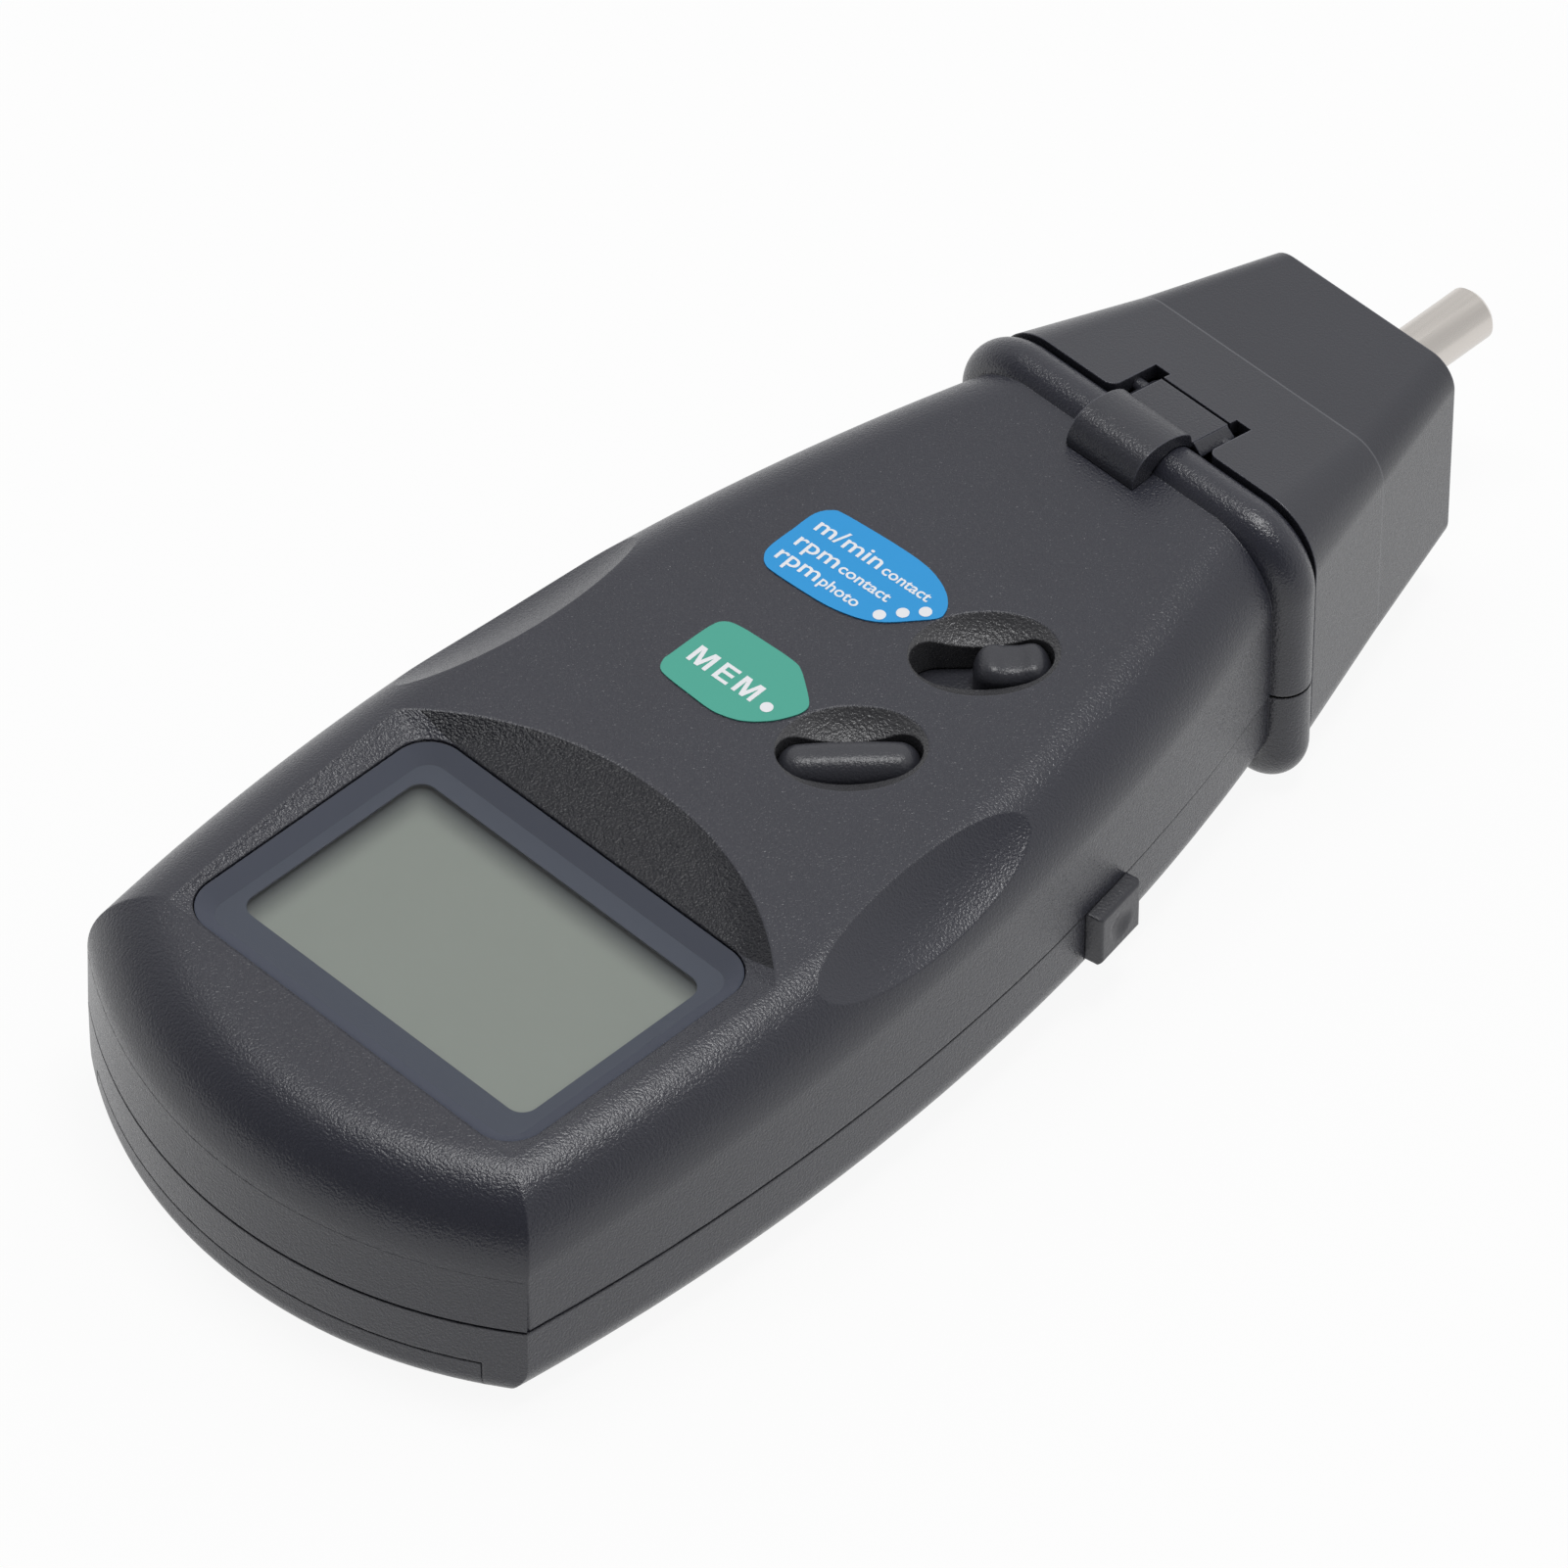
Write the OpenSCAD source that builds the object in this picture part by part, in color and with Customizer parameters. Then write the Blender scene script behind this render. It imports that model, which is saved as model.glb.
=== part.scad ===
// Laser tachometer with a clip-on contact adapter, in millimetres.
// +Y runs from the display end to the contact shaft and +Z from the back to the display. The origin is
// the bottom centre of the bounding box, so Z = 0 is the lowest line of the nose collar.

/* [Case] */
// Widest half width, at the parting line
half_width = 36.1; // [30:0.1:42]
// Radius of the bowed sides in plan
side_r = 281.4; // [200:0.2:400]
// Station of the widest point
widest_y = -46; // [-60:0.5:-30]
// Radius of the bowed display end in plan
end_r = 57; // [45:0.5:75]
// Height of the parting line
parting_z = 15.3; // [13:0.1:18]
// Height of the back
back_z = 4.4; // [3:0.1:6]
// Height of the top at the display end corners
top_z = 32.2; // [30:0.1:35]
// Rise of the top towards the nose, in degrees
top_rise = 1.69; // [0:0.01:3]
// Fillet between the top and the sides
top_fillet = 8.5; // [4:0.1:10]
// Fillet between the back and the sides
back_fillet = 5; // [2:0.1:7]
// Case wall thickness
wall = 2.2; // [1.8:0.1:3]
// Depth of the shadow line at the parting
shadow_d = 0.45; // [0.2:0.05:0.8]
// Height of the shadow line
shadow_h = 0.3; // [0.1:0.05:0.5]

/* [Display] */
// Window width
window_w = 50.5; // [40:0.1:56]
// Window length along the case
window_l = 37; // [30:0.1:42]
// Window middle station
window_y = -59.9; // [-64:0.1:-55]
// Height of the window's outer face
window_z = 32; // [31:0.1:33]
// Window thickness
window_t = 1.6; // [1:0.1:2]
// Visible area of the liquid crystal panel
lcd_view = [43, 26.7]; // [20:0.1:50]

/* [Controls] */
// Turn of the two oval wells in plan
well_turn = 47; // [0:1:90]
// Mode switch well centre
mode_at = [10.5, 6.2]; // [-20:0.1:20]
// Memory button well centre
memory_at = [10.15, -13.5]; // [-20:0.1:20]
// Depth of the wells
well_depth = 2.8; // [2:0.1:3.5]
// Travel of the mode switch knob
mode_travel = 6.4; // [4:0.1:7]
// Travel of the memory button
memory_travel = 0.8; // [0.5:0.1:1.2]
// Station of the test button along the case
test_y = 4.1; // [-10:0.1:15]
// Test button length
test_l = 7.6; // [6:0.1:10]
// How far the test button stands out
test_out = 2; // [1:0.1:2.5]

/* [Collar and adapter] */
// Front face of the collar
collar_y = 43.9; // [40:0.1:48]
// Collar half width
collar_w = 25.5; // [23:0.1:28]
// Collar height
collar_h = 37.4; // [34:0.1:40]
// Collar bead radius
bead_r = 3.2; // [2:0.05:4]
// Gap between the collar and the adapter
adapter_gap = 0.3; // [0.2:0.05:0.6]
// Station of the crease round the adapter
crease_y = 59.8; // [55:0.1:64]
// Adapter front face
adapter_y = 76.4; // [72:0.1:82]
// Adapter half widths at the collar, crease and front
adapter_w = [23.8, 19, 14]; // [10:0.1:26]
// Adapter half heights at the collar, crease and front
adapter_hh = [18.1, 15, 13.6]; // [10:0.1:20]
// Adapter wall thickness
adapter_wall = 2; // [1.5:0.1:3]
// Height of the shaft axis
axis_z = 18.5; // [16:0.1:21]
// Contact shaft radius, free end
shaft_r = 3.25; // [2.5:0.05:4]
// Contact shaft radius in the bearings
journal_r = 3; // [2.25:0.05:3.2]
// Contact shaft free end
shaft_y = 95; // [85:0.5:105]
// Radial clearance in the bearings
bearing_play = 0.03; // [0.01:0.01:0.1]

/* [Batteries] */
// Cell radius
cell_r = 7.15; // [5:0.05:7.25]
// Cell body length without its button
cell_l = 49; // [44:0.1:49.5]
// Distance between cells
cell_pitch = 14.5; // [11:0.1:14.6]

/* [Hidden] */
$fn = 72;
big = 400;
eps = 0.01;
chord_y = -84.1;
side_x = side_r - half_width;
end_y = end_r - 95;
collar_mid = collar_y - 2.9;
nose_y = collar_mid - bead_r;
board_z = 22;
board_t = 1.6;
board_top = board_z + board_t;
door_t = 1.8;
door_half = 29.3;
door_y = -29;
door_lip = back_z + 5;
cell_z = back_z + door_t + 0.05 + cell_r;
spring_l = 1.7;
nub_l = 1.5;
bay_front = -83.2;
bay_rear = bay_front + spring_l + cell_l + nub_l;
bay_end = bay_rear + 0.5;
bay_top = board_z - 0.2;
case_screws_at = [for (s = [1, -1]) each [[s * (half_width - 7.1), -22], [s * (half_width - 16.6), 28]]];
board_screws_at = [for (s = [1, -1]) each [[s * (half_width - 8.6), -80], [s * (half_width - 13.1), -3]]];
optics_w = half_width - 21.1;
receiver_r = optics_w - 9.4;
button_angle = asin((test_y - widest_y) / side_r);
lcd_z = window_z - 2.3;
lcd_t = 2.8;
mask_t = 0.25;
ledge_z = window_z - window_t - mask_t;
lcd_y = -59.55;
bearing_r = 5;
front_bearing_y = [71.5, 75.9];
bulkhead_y = [51.2, 54.7];
latch_at = [48.2, 34.2];
notch_w = 7.2;
latch_w = 5;

function top_at(y) = top_z + (y - chord_y) * tan(top_rise);
function cell_end(up) = up ? bay_front + spring_l : bay_rear - spring_l;
function adapter_top(y) = axis_z + adapter_hh[0] + (adapter_hh[1] - adapter_hh[0])
    * (y - collar_y - adapter_gap) / (crease_y - collar_y - adapter_gap);
function along(at, d) = [at[0] + d * cos(well_turn), at[1] + d * sin(well_turn)];

// A round disc whose upper rim is filleted: one of the three that bound each case half.
module rim_disc(r, h, fillet) {
    rotate_extrude($fn = 180) {
        square([r - fillet, h]);
        square([r, h - fillet]);
        translate([r - fillet, h - fillet]) intersection() {
            circle(fillet);
            square(fillet);
        }
    }
}

// The upper half of the case body, brought in by an inset all round.
module upper_block(inset) {
    intersection() {
        translate([0, chord_y, top_z - inset]) rotate([top_rise, 0, 0]) translate([0, -chord_y, -60])
            intersection() {
                translate([-side_x, widest_y, 0]) rim_disc(side_r - inset, 60, top_fillet - inset);
                translate([side_x, widest_y, 0]) rim_disc(side_r - inset, 60, top_fillet - inset);
                union() {
                    translate([0, end_y, 0]) rim_disc(end_r - inset, 60, top_fillet + 1 - inset);
                    translate([-50, end_y, -1]) cube([100, 120, 70]);
                }
            }
        translate([-50, -100, parting_z - (inset > 0 ? 1 : 0)]) cube([100, 100 + collar_mid, 40]);
    }
}

// The lower half of the case body, brought in by an inset all round.
module lower_block(inset) {
    intersection() {
        translate([0, 0, back_z + inset]) mirror([0, 0, 1]) translate([0, 0, -60]) intersection() {
            translate([-side_x, widest_y, 0]) rim_disc(side_r - inset, 60, back_fillet - inset);
            translate([side_x, widest_y, 0]) rim_disc(side_r - inset, 60, back_fillet - inset);
            union() {
                translate([0, end_y, 0]) rim_disc(end_r - inset, 60, 3 - min(inset, 2));
                translate([-50, end_y, -1]) cube([100, 120, 70]);
            }
        }
        translate([-50, -100, -1]) cube([100, 100 + collar_mid, parting_z + 1 + (inset > 0 ? 1 : 0)]);
    }
}

// Half of the round-edged slab of the nose collar, from its two corners at z to the parting.
module collar_half(corner, z) {
    intersection() {
        hull() for (s = [-1, 1]) {
            translate([s * (collar_w - corner), collar_mid, z]) rotate([90, 0, 0]) rotate_extrude($fn = 48)
                intersection() {
                    translate([corner - bead_r, 0]) circle(bead_r, $fn = 24);
                    translate([0, -bead_r]) square([2 * corner, 2 * bead_r]);
                }
            translate([s * (collar_w - bead_r), collar_mid, min(z, parting_z)])
                cylinder(r = bead_r, h = abs(z - parting_z), $fn = 24);
        }
        translate([-50, 0, min(z - 20, parting_z)]) cube([100, collar_y, abs(z - parting_z) + 20]);
    }
}

// The thin shadow line round the parting, cut into the rim of the lower half.
module shadow_line() {
    core = bead_r - shadow_d;
    difference() {
        translate([-50, -100, parting_z - shadow_h]) cube([100, 101 + collar_y, shadow_h + 1]);
        lower_block(shadow_d);
        for (s = [-1, 1]) translate([s * (collar_w - bead_r), collar_mid, 0]) cylinder(r = core, h = 40);
        translate([bead_r - collar_w, collar_mid - core, 0]) cube([2 * (collar_w - bead_r), 2 * core, 40]);
    }
}

// Finger scoops in the two upper edges, cut by a wide ring; grow thickens the wall behind them.
module scoops(grow) {
    for (s = [0, 1]) mirror([s, 0, 0]) translate([half_width + 39.3, -21.2, top_z + 65.3])
        rotate([0, 0, 5]) rotate([0, -55.8, 0]) rotate_extrude($fn = 120) translate([63.5, 0])
            circle(17 + grow, $fn = 96);
}

// A stadium in plan, set along the wells' direction.
module well_slot(at, l, w, z0, z1) {
    translate([at[0], at[1], z0]) rotate([0, 0, well_turn]) linear_extrude(z1 - z0) {
        square([l - w, w], center = true);
        for (s = [-1, 1]) translate([s * (l - w) / 2, 0]) circle(w / 2);
    }
}

// An oval bowl, the part of a spindle torus that dips below the case top.
module well_bowl(at) {
    across = 8.26;
    lengthwise = 13.7;
    translate([at[0], at[1], top_at(at[1]) - well_depth + lengthwise]) rotate([90, 0, well_turn])
        rotate_extrude($fn = 96) intersection() {
            translate([lengthwise - across, 0]) circle(across);
            translate([0, -20]) square([40, 40]);
        }
}

// A rounded rectangle seen in plan.
module plate_2d(w, l, r) {
    square([w - 2 * r, l], center = true);
    square([w, l - 2 * r], center = true);
    for (x = [-1, 1], y = [-1, 1]) translate([x * (w / 2 - r), y * (l / 2 - r)]) circle(r);
}

// The funnel round the window: flush at its lower edge and deepest at its upper edge.
module display_recess() {
    hull() {
        translate([0, window_y, window_z]) linear_extrude(eps) plate_2d(window_w + 0.4, window_l + 0.4, 4.7);
        translate([0, chord_y, top_z]) rotate([top_rise, 0, 0]) translate([0, -chord_y, 0]) linear_extrude(4)
            intersection() {
                translate([0, -73.6]) circle(42.1, $fn = 120);
                polygon([[-26, -79], [-29, -41.5], [-20, -20], [20, -20], [29, -41.5], [26, -79]]);
            }
    }
}

// A local frame on the right side wall at the test button, +X outwards.
module on_side() {
    translate([-side_x, widest_y, 0]) rotate([0, 0, button_angle]) translate([side_r, 0, 0]) children();
}

// Upper case half: shell, window ledge, well pads, bosses and its half of the collar.
module upper_case() {
    color([0.34, 0.35, 0.38]) difference() {
        union() {
            difference() {
                upper_block(0);
                difference() {
                    upper_block(wall);
                    scoops(wall);
                }
            }
            intersection() {
                upper_block(0.5);
                union() {
                    translate([-28, window_y - 21, lcd_z - 1.3]) cube([56, 43.5, 8]);
                    for (at = [mode_at, memory_at])
                        well_slot(at, 22, 16, top_at(at[1]) - 5.2, top_at(at[1]) - 1);
                    for (at = board_screws_at) translate([at[0], at[1], board_top]) cylinder(r = 2.6, h = 12);
                    for (at = case_screws_at) translate([at[0], at[1], parting_z]) cylinder(r = 3.2, h = 20);
                }
            }
            collar_half(9, collar_h - 9);
        }
        scoops(0);
        display_recess();
        translate([0, window_y, ledge_z]) linear_extrude(6) plate_2d(window_w + 0.2, window_l + 0.2, 4.6);
        translate([-23.7, lcd_y - 15.4, 20]) cube([47.4, 30.8, 20]);
        for (at = [mode_at, memory_at]) well_bowl(at);
        well_slot(mode_at, 15.6, 6.4, 20, 36);
        well_slot(memory_at, 15.8, 6.2, 20, 36);
        for (at = board_screws_at) translate([at[0], at[1], board_top - 1]) cylinder(r = 1.15, h = 7);
        for (at = case_screws_at) translate([at[0], at[1], parting_z - 1]) cylinder(r = 1.25, h = 11);
        translate([0, 0, axis_z]) rotate([-90, 0, 0]) translate([0, 0, nose_y - 5]) cylinder(r = 13, h = 20);
    }
}

// Lower case half: shell, battery bay, bosses, switch post and its half of the collar.
module lower_case() {
    color([0.32, 0.33, 0.36]) difference() {
        union() {
            difference() {
                lower_block(0);
                lower_block(wall);
            }
            intersection() {
                lower_block(0.5);
                union() {
                    for (at = case_screws_at) translate([at[0], at[1], 0]) cylinder(r = 3.2, h = parting_z);
                    on_side() translate([-15, -4, 0]) cube([4.9, 8, 14.5]);
                    translate([-15, 24, 0]) cube([30, 13, axis_z - 9]);
                }
            }
            intersection() {
                translate([0, end_y, 0]) cylinder(r = end_r - wall - 0.2, h = 40, $fn = 180);
                translate([-side_x, widest_y, 0]) cylinder(r = side_r - wall - 0.2, h = 40, $fn = 180);
                translate([side_x, widest_y, 0]) cylinder(r = side_r - wall - 0.2, h = 40, $fn = 180);
                union() {
                    for (s = [-1, 1]) translate([s * 30.1 - 0.7, bay_front - 1.7, back_z + 1])
                        cube([1.4, bay_end - bay_front + 1.8, bay_top - back_z - 1]);
                    for (y = [bay_front - 1.7, bay_end]) translate([-30.8, y, back_z + 1])
                        cube([61.6, y < bay_end ? 1.2 : 1.5, bay_top - back_z - 1]);
                    translate([-30.8, bay_front - 1.7, bay_top - 1.2])
                        cube([61.6, bay_end - bay_front + 1.8, 1.2]);
                }
            }
            collar_half(6, 6);
        }
        translate([-door_half - 0.15, -100, -1])
            cube([2 * door_half + 0.3, 100 + door_y + 0.15, back_z + wall + 1.2]);
        translate([-door_half - 0.15, -100, -1]) cube([2 * door_half + 0.3, 18, door_lip + 1.15]);
        translate([-3, door_y - 4, back_z + door_t - 0.1]) cube([6, 8, 1.6]);
        shadow_line();
        on_side() translate([-4, -test_l / 2 - 0.15, parting_z - 7.2]) cube([9, test_l + 0.3, 10]);
        for (at = board_screws_at) translate([at[0], at[1], board_z - 2]) cylinder(r = 2.7, h = 4);
        for (at = case_screws_at) {
            translate([at[0], at[1], -1]) cylinder(r = 1.6, h = 30);
            translate([at[0], at[1], -1]) cylinder(r = 2.8, h = back_z + 6);
        }
        translate([0, 0, axis_z]) rotate([-90, 0, 0]) translate([0, 0, nose_y - 5]) cylinder(r = 13, h = 20);
    }
}

// Battery door: a plate flush with the back, a lip up the display end and a tab under the bay wall.
module battery_door() {
    color([0.33, 0.34, 0.37]) {
        intersection() {
            difference() {
                lower_block(0);
                lower_block(door_t);
            }
            union() {
                translate([-door_half, -100, 0]) cube([2 * door_half, 100 + door_y, back_z + door_t]);
                translate([-door_half, -100, 0]) cube([2 * door_half, 17.9, door_lip]);
            }
        }
        translate([-2.5, door_y - 6, back_z + door_t - eps]) cube([5, 8, 0.9]);
        for (k = [0:4]) translate([-9, door_y - 12 + 2 * k, back_z - 0.5]) cube([18, 0.9, 0.6]);
    }
}

// Four cells side by side, turned end for end.
module battery_cells() {
    color([0.55, 0.57, 0.6]) for (k = [0:3]) {
        up = k % 2 == 0;
        translate([(k - 1.5) * cell_pitch, cell_end(up), cell_z]) rotate([up ? -90 : 90, 0, 0]) {
            cylinder(r = cell_r, h = cell_l);
            translate([0, 0, cell_l]) cylinder(r = 2.6, h = nub_l);
        }
    }
}

// A tapered coil spring against the flat end of each cell.
module battery_springs() {
    color([0.75, 0.75, 0.76]) for (k = [0:3]) {
        up = k % 2 == 0;
        translate([(k - 1.5) * cell_pitch, cell_end(up), cell_z]) rotate([up ? 90 : -90, 0, 0])
            for (n = [0:1]) translate([0, 0, 0.5 + 0.7 * n]) rotate_extrude($fn = 48)
                translate([2.6 + 0.55 * n, 0]) circle(0.5, $fn = 24);
    }
}

// Contact plates at the two ends of the bay.
module battery_contacts() {
    color([0.78, 0.78, 0.74]) {
        for (s = [-1, 1]) translate([s * cell_pitch - 12.5, bay_front - 0.5, cell_z - 6]) cube([25, 0.5, 12]);
        for (x = [-27.5, 15.5]) translate([x, bay_rear, cell_z - 6]) cube([12, 0.5, 12]);
        translate([-12.5, bay_rear, cell_z - 6]) cube([25, 0.5, 12]);
    }
}

// Circuit board, hung from four bosses under the case top.
module circuit_board() {
    w = half_width - 5.1;
    color([0.09, 0.32, 0.18]) difference() {
        translate([0, 0, board_z]) linear_extrude(board_t) intersection() {
            polygon([[-w, -81], [w, -81], [w, -8], [w - 6, 16], [6 - w, 16], [-w, -8]]);
            translate([0, end_y]) circle(end_r - wall - 0.6, $fn = 180);
            translate([-side_x, widest_y]) circle(side_r - wall - 0.6, $fn = 180);
            translate([side_x, widest_y]) circle(side_r - wall - 0.6, $fn = 180);
        }
        for (at = case_screws_at) translate([at[0], at[1], board_z - 1]) cylinder(r = 3.5, h = 5);
        for (at = board_screws_at) translate([at[0], at[1], board_z - 1]) cylinder(r = 1.3, h = 5);
    }
}

// A pan-head screw, head at the bottom.
module screw(r, l, head_r, head_h) {
    difference() {
        union() {
            cylinder(r = head_r, h = head_h);
            cylinder(r = r, h = l);
        }
        for (a = [0, 90]) rotate([0, 0, a]) translate([-head_r * 0.6, -0.3, -1])
            cube([head_r * 1.2, 0.6, 1.6]);
    }
}

// Four screws that hold the circuit board to the upper case.
module board_screws() {
    color([0.72, 0.72, 0.73]) for (at = board_screws_at)
        translate([at[0], at[1], board_z - 1.4]) screw(1.15, 7, 2.2, 1.4);
}

// Four screws through the back that close the case.
module case_screws() {
    color([0.72, 0.72, 0.73]) for (at = case_screws_at)
        translate([at[0], at[1], back_z + 5 - 1.6]) screw(1.25, 17, 2.6, 1.6);
}

// Clear window set into the case top.
module display_window() {
    color([0.75, 0.82, 0.86, 0.35]) translate([0, window_y, window_z - window_t])
        linear_extrude(window_t) plate_2d(window_w, window_l, 4.5);
}

// Printed border under the window.
module display_mask() {
    color([0.17, 0.2, 0.27]) difference() {
        translate([0, window_y, ledge_z]) linear_extrude(mask_t) plate_2d(window_w, window_l, 4.5);
        translate([0, lcd_y, ledge_z - 1]) linear_extrude(3) plate_2d(lcd_view[0], lcd_view[1], 2);
    }
}

// Liquid crystal panel.
module lcd_panel() {
    color([0.62, 0.66, 0.6]) translate([-23.4, lcd_y - 15.1, lcd_z - lcd_t]) cube([46.8, 30.2, lcd_t]);
}

// Frame that carries the panel on the circuit board.
module lcd_holder() {
    color([0.85, 0.85, 0.83]) difference() {
        translate([-23.4, lcd_y - 15.1, board_top]) cube([46.8, 30.2, lcd_z - lcd_t - board_top]);
        translate([-20.5, lcd_y - 8.6, board_top - 1]) cube([41, 17.2, 8]);
        for (y = [-11.6, 11.6]) translate([-20.5, lcd_y + y - 1.3, board_top - 1]) cube([41, 2.6, 8]);
    }
}

// Striped rubber connectors between the board and the panel.
module lcd_connectors() {
    color([0.2, 0.2, 0.22]) for (y = [-11.6, 11.6])
        translate([-20.4, lcd_y + y - 1.25, board_top]) cube([40.8, 2.5, lcd_z - lcd_t - board_top]);
}

// Mode switch knob: two ridges with a valley for the thumb, on a shutter plate.
module mode_switch_knob() {
    z0 = top_at(mode_at[1]) - 5.4;
    at = along(mode_at, 3.3);
    color([0.3, 0.31, 0.34]) translate([at[0], at[1], z0]) rotate([0, 0, well_turn]) {
        translate([-10.5, -4, -1]) cube([21, 8, 1]);
        intersection() {
            translate([0, 3, 0]) rotate([90, 0, 0]) linear_extrude(6)
                polygon([[-4.3, -eps], [-4.3, 2.6], [-3.3, 4.5], [-2.3, 5.1], [-1.2, 4.7], [0, 4.5],
                    [1.2, 4.7], [2.3, 5.1], [3.3, 4.5], [4.3, 2.6], [4.3, -eps]]);
            translate([0, 0, -1]) linear_extrude(8) {
                square([2.6, 5.6], center = true);
                for (s = [-1, 1]) translate([s * 1.3, 0]) circle(2.8);
            }
        }
    }
}

// Stem that couples the knob to its switch.
module mode_switch_stem() {
    z1 = top_at(mode_at[1]) - 6.4;
    at = along(mode_at, 3.3);
    color([0.85, 0.85, 0.83]) translate([at[0], at[1], board_top + 1.6]) rotate([0, 0, well_turn])
        translate([-1.5, -0.8, 0]) cube([3, 1.6, z1 - board_top - 1.6]);
}

// Three-position slide switch on the board.
module mode_switch_body() {
    color([0.2, 0.2, 0.22]) translate([mode_at[0], mode_at[1], board_top]) rotate([0, 0, well_turn])
        difference() {
            translate([-9, -3.5, 0]) cube([18, 7, 3.4]);
            translate([-5, -1, 1.5]) cube([10, 2, 4]);
        }
}

// Memory button: a long bar with a flange that keeps it under the case top.
module memory_button() {
    z1 = top_at(memory_at[1]);
    color([0.3, 0.31, 0.34]) {
        well_slot(memory_at, 15.2, 5.6, z1 - 5.4, z1 - 0.4);
        well_slot(memory_at, 17.6, 7.6, z1 - 6.6, z1 - 5.35);
    }
}

// Plunger under the memory button.
module memory_plunger() {
    color([0.85, 0.85, 0.83]) translate([memory_at[0], memory_at[1], board_top + 1.4])
        cylinder(r = 1.6, h = top_at(memory_at[1]) - 6.6 - board_top - 1.4);
}

// Push switch under the memory button.
module memory_switch() {
    color([0.2, 0.2, 0.22]) translate([memory_at[0], memory_at[1], board_top]) difference() {
        translate([-3, -3, 0]) cube([6, 6, 2.9]);
        translate([0, 0, 0.4]) cylinder(r = 1.7, h = 4);
    }
}

// Test button in the right side, dished for the thumb.
module test_button() {
    color([0.33, 0.34, 0.37]) on_side() difference() {
        union() {
            translate([-2.4, -test_l / 2, parting_z - 7.05]) cube([2.4 + test_out, test_l, 6.9]);
            translate([-3.6, -test_l / 2 - 1.4, parting_z - 5.8]) cube([1.25, test_l + 2.8, 5.65]);
        }
        translate([test_out + 7.3, 0, parting_z - 3.6]) sphere(8);
    }
}

// Plunger behind the test button.
module test_plunger() {
    color([0.85, 0.85, 0.83]) on_side() translate([-6.4, 0, parting_z - 4]) rotate([0, 90, 0])
        cylinder(r = 1.6, h = 2.8);
}

// Push switch behind the test button.
module test_switch() {
    color([0.2, 0.2, 0.22]) on_side() difference() {
        translate([-10.1, -3, parting_z - 7]) cube([5.2, 6, 6]);
        translate([-8.2, 0, parting_z - 4]) rotate([0, 90, 0]) cylinder(r = 1.7, h = 6);
    }
}

// A thin label laid on the sloping case top.
module label(discs) {
    translate([0, chord_y, top_z]) rotate([top_rise, 0, 0]) translate([0, -chord_y, 0]) linear_extrude(0.15)
        hull() for (d = discs) translate([d[0], d[1]]) circle(d[2], $fn = 40);
}

// Blue label beside the mode switch.
module mode_label() {
    color([0.38, 0.7, 0.91])
        label([[-15.6, 1.4, 2.2], [-15.6, 8.3, 2.3], [-5, 8.2, 2.3], [0.8, 7.1, 2.4], [-4.6, 2.9, 3]]);
}

// Green label beside the memory button.
module memory_label() {
    color([0.5, 0.79, 0.72])
        label([[-10.9, -17.2, 2], [-10.9, -11.5, 2], [-2.5, -11.9, 2.5], [0.2, -13.2, 2.3],
            [-1.8, -15.8, 2.2]]);
}

// Block that carries the laser and the receiver behind the nose.
module optics_block() {
    color([0.2, 0.2, 0.22]) difference() {
        translate([-optics_w, 25, axis_z - 9]) cube([2 * optics_w, nose_y - 25, 18]);
        translate([-6.5, 0, axis_z]) rotate([-90, 0, 0]) cylinder(r = 3.1, h = 60);
        translate([6, 0, axis_z]) rotate([-90, 0, 0]) cylinder(r = receiver_r, h = 60);
    }
}

// Brass-bodied laser module.
module laser_module() {
    color([0.72, 0.58, 0.28]) translate([-6.5, 0, axis_z]) rotate([-90, 0, 0]) difference() {
        translate([0, 0, 20]) cylinder(r = 3.1, h = nose_y - 21);
        translate([0, 0, nose_y - 3]) cylinder(r = 1.6, h = 6);
    }
}

// Receiver lens in its tube.
module receiver_lens() {
    color([0.6, 0.1, 0.12]) translate([6, 0, axis_z]) rotate([-90, 0, 0]) {
        translate([0, 0, 26]) cylinder(r = receiver_r, h = nose_y - 27.5);
        translate([0, 0, nose_y - 1.5]) cylinder(r1 = receiver_r, r2 = 0.6 * receiver_r, h = 1.2);
    }
}

// Clear disc that closes the nose.
module nose_window() {
    color([0.35, 0.1, 0.12, 0.6]) translate([0, nose_y, axis_z]) rotate([-90, 0, 0]) cylinder(r = 13, h = 3);
}

// One cross-section of the adapter.
module adapter_slice(k, y, inset, r) {
    translate([0, y, axis_z]) rotate([90, 0, 0]) linear_extrude(eps)
        plate_2d(2 * (adapter_w[k] - inset), 2 * (adapter_hh[k] - inset), r);
}

// The adapter's two tapering lengths.
module adapter_block(inset) {
    hull() {
        adapter_slice(0, collar_y + adapter_gap + eps, inset, 7 - inset);
        adapter_slice(1, crease_y, inset, 4.5 - inset);
    }
    hull() {
        adapter_slice(1, crease_y, inset, 4.5 - inset);
        adapter_slice(2, adapter_y, inset, 3.5 - inset);
    }
}

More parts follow.
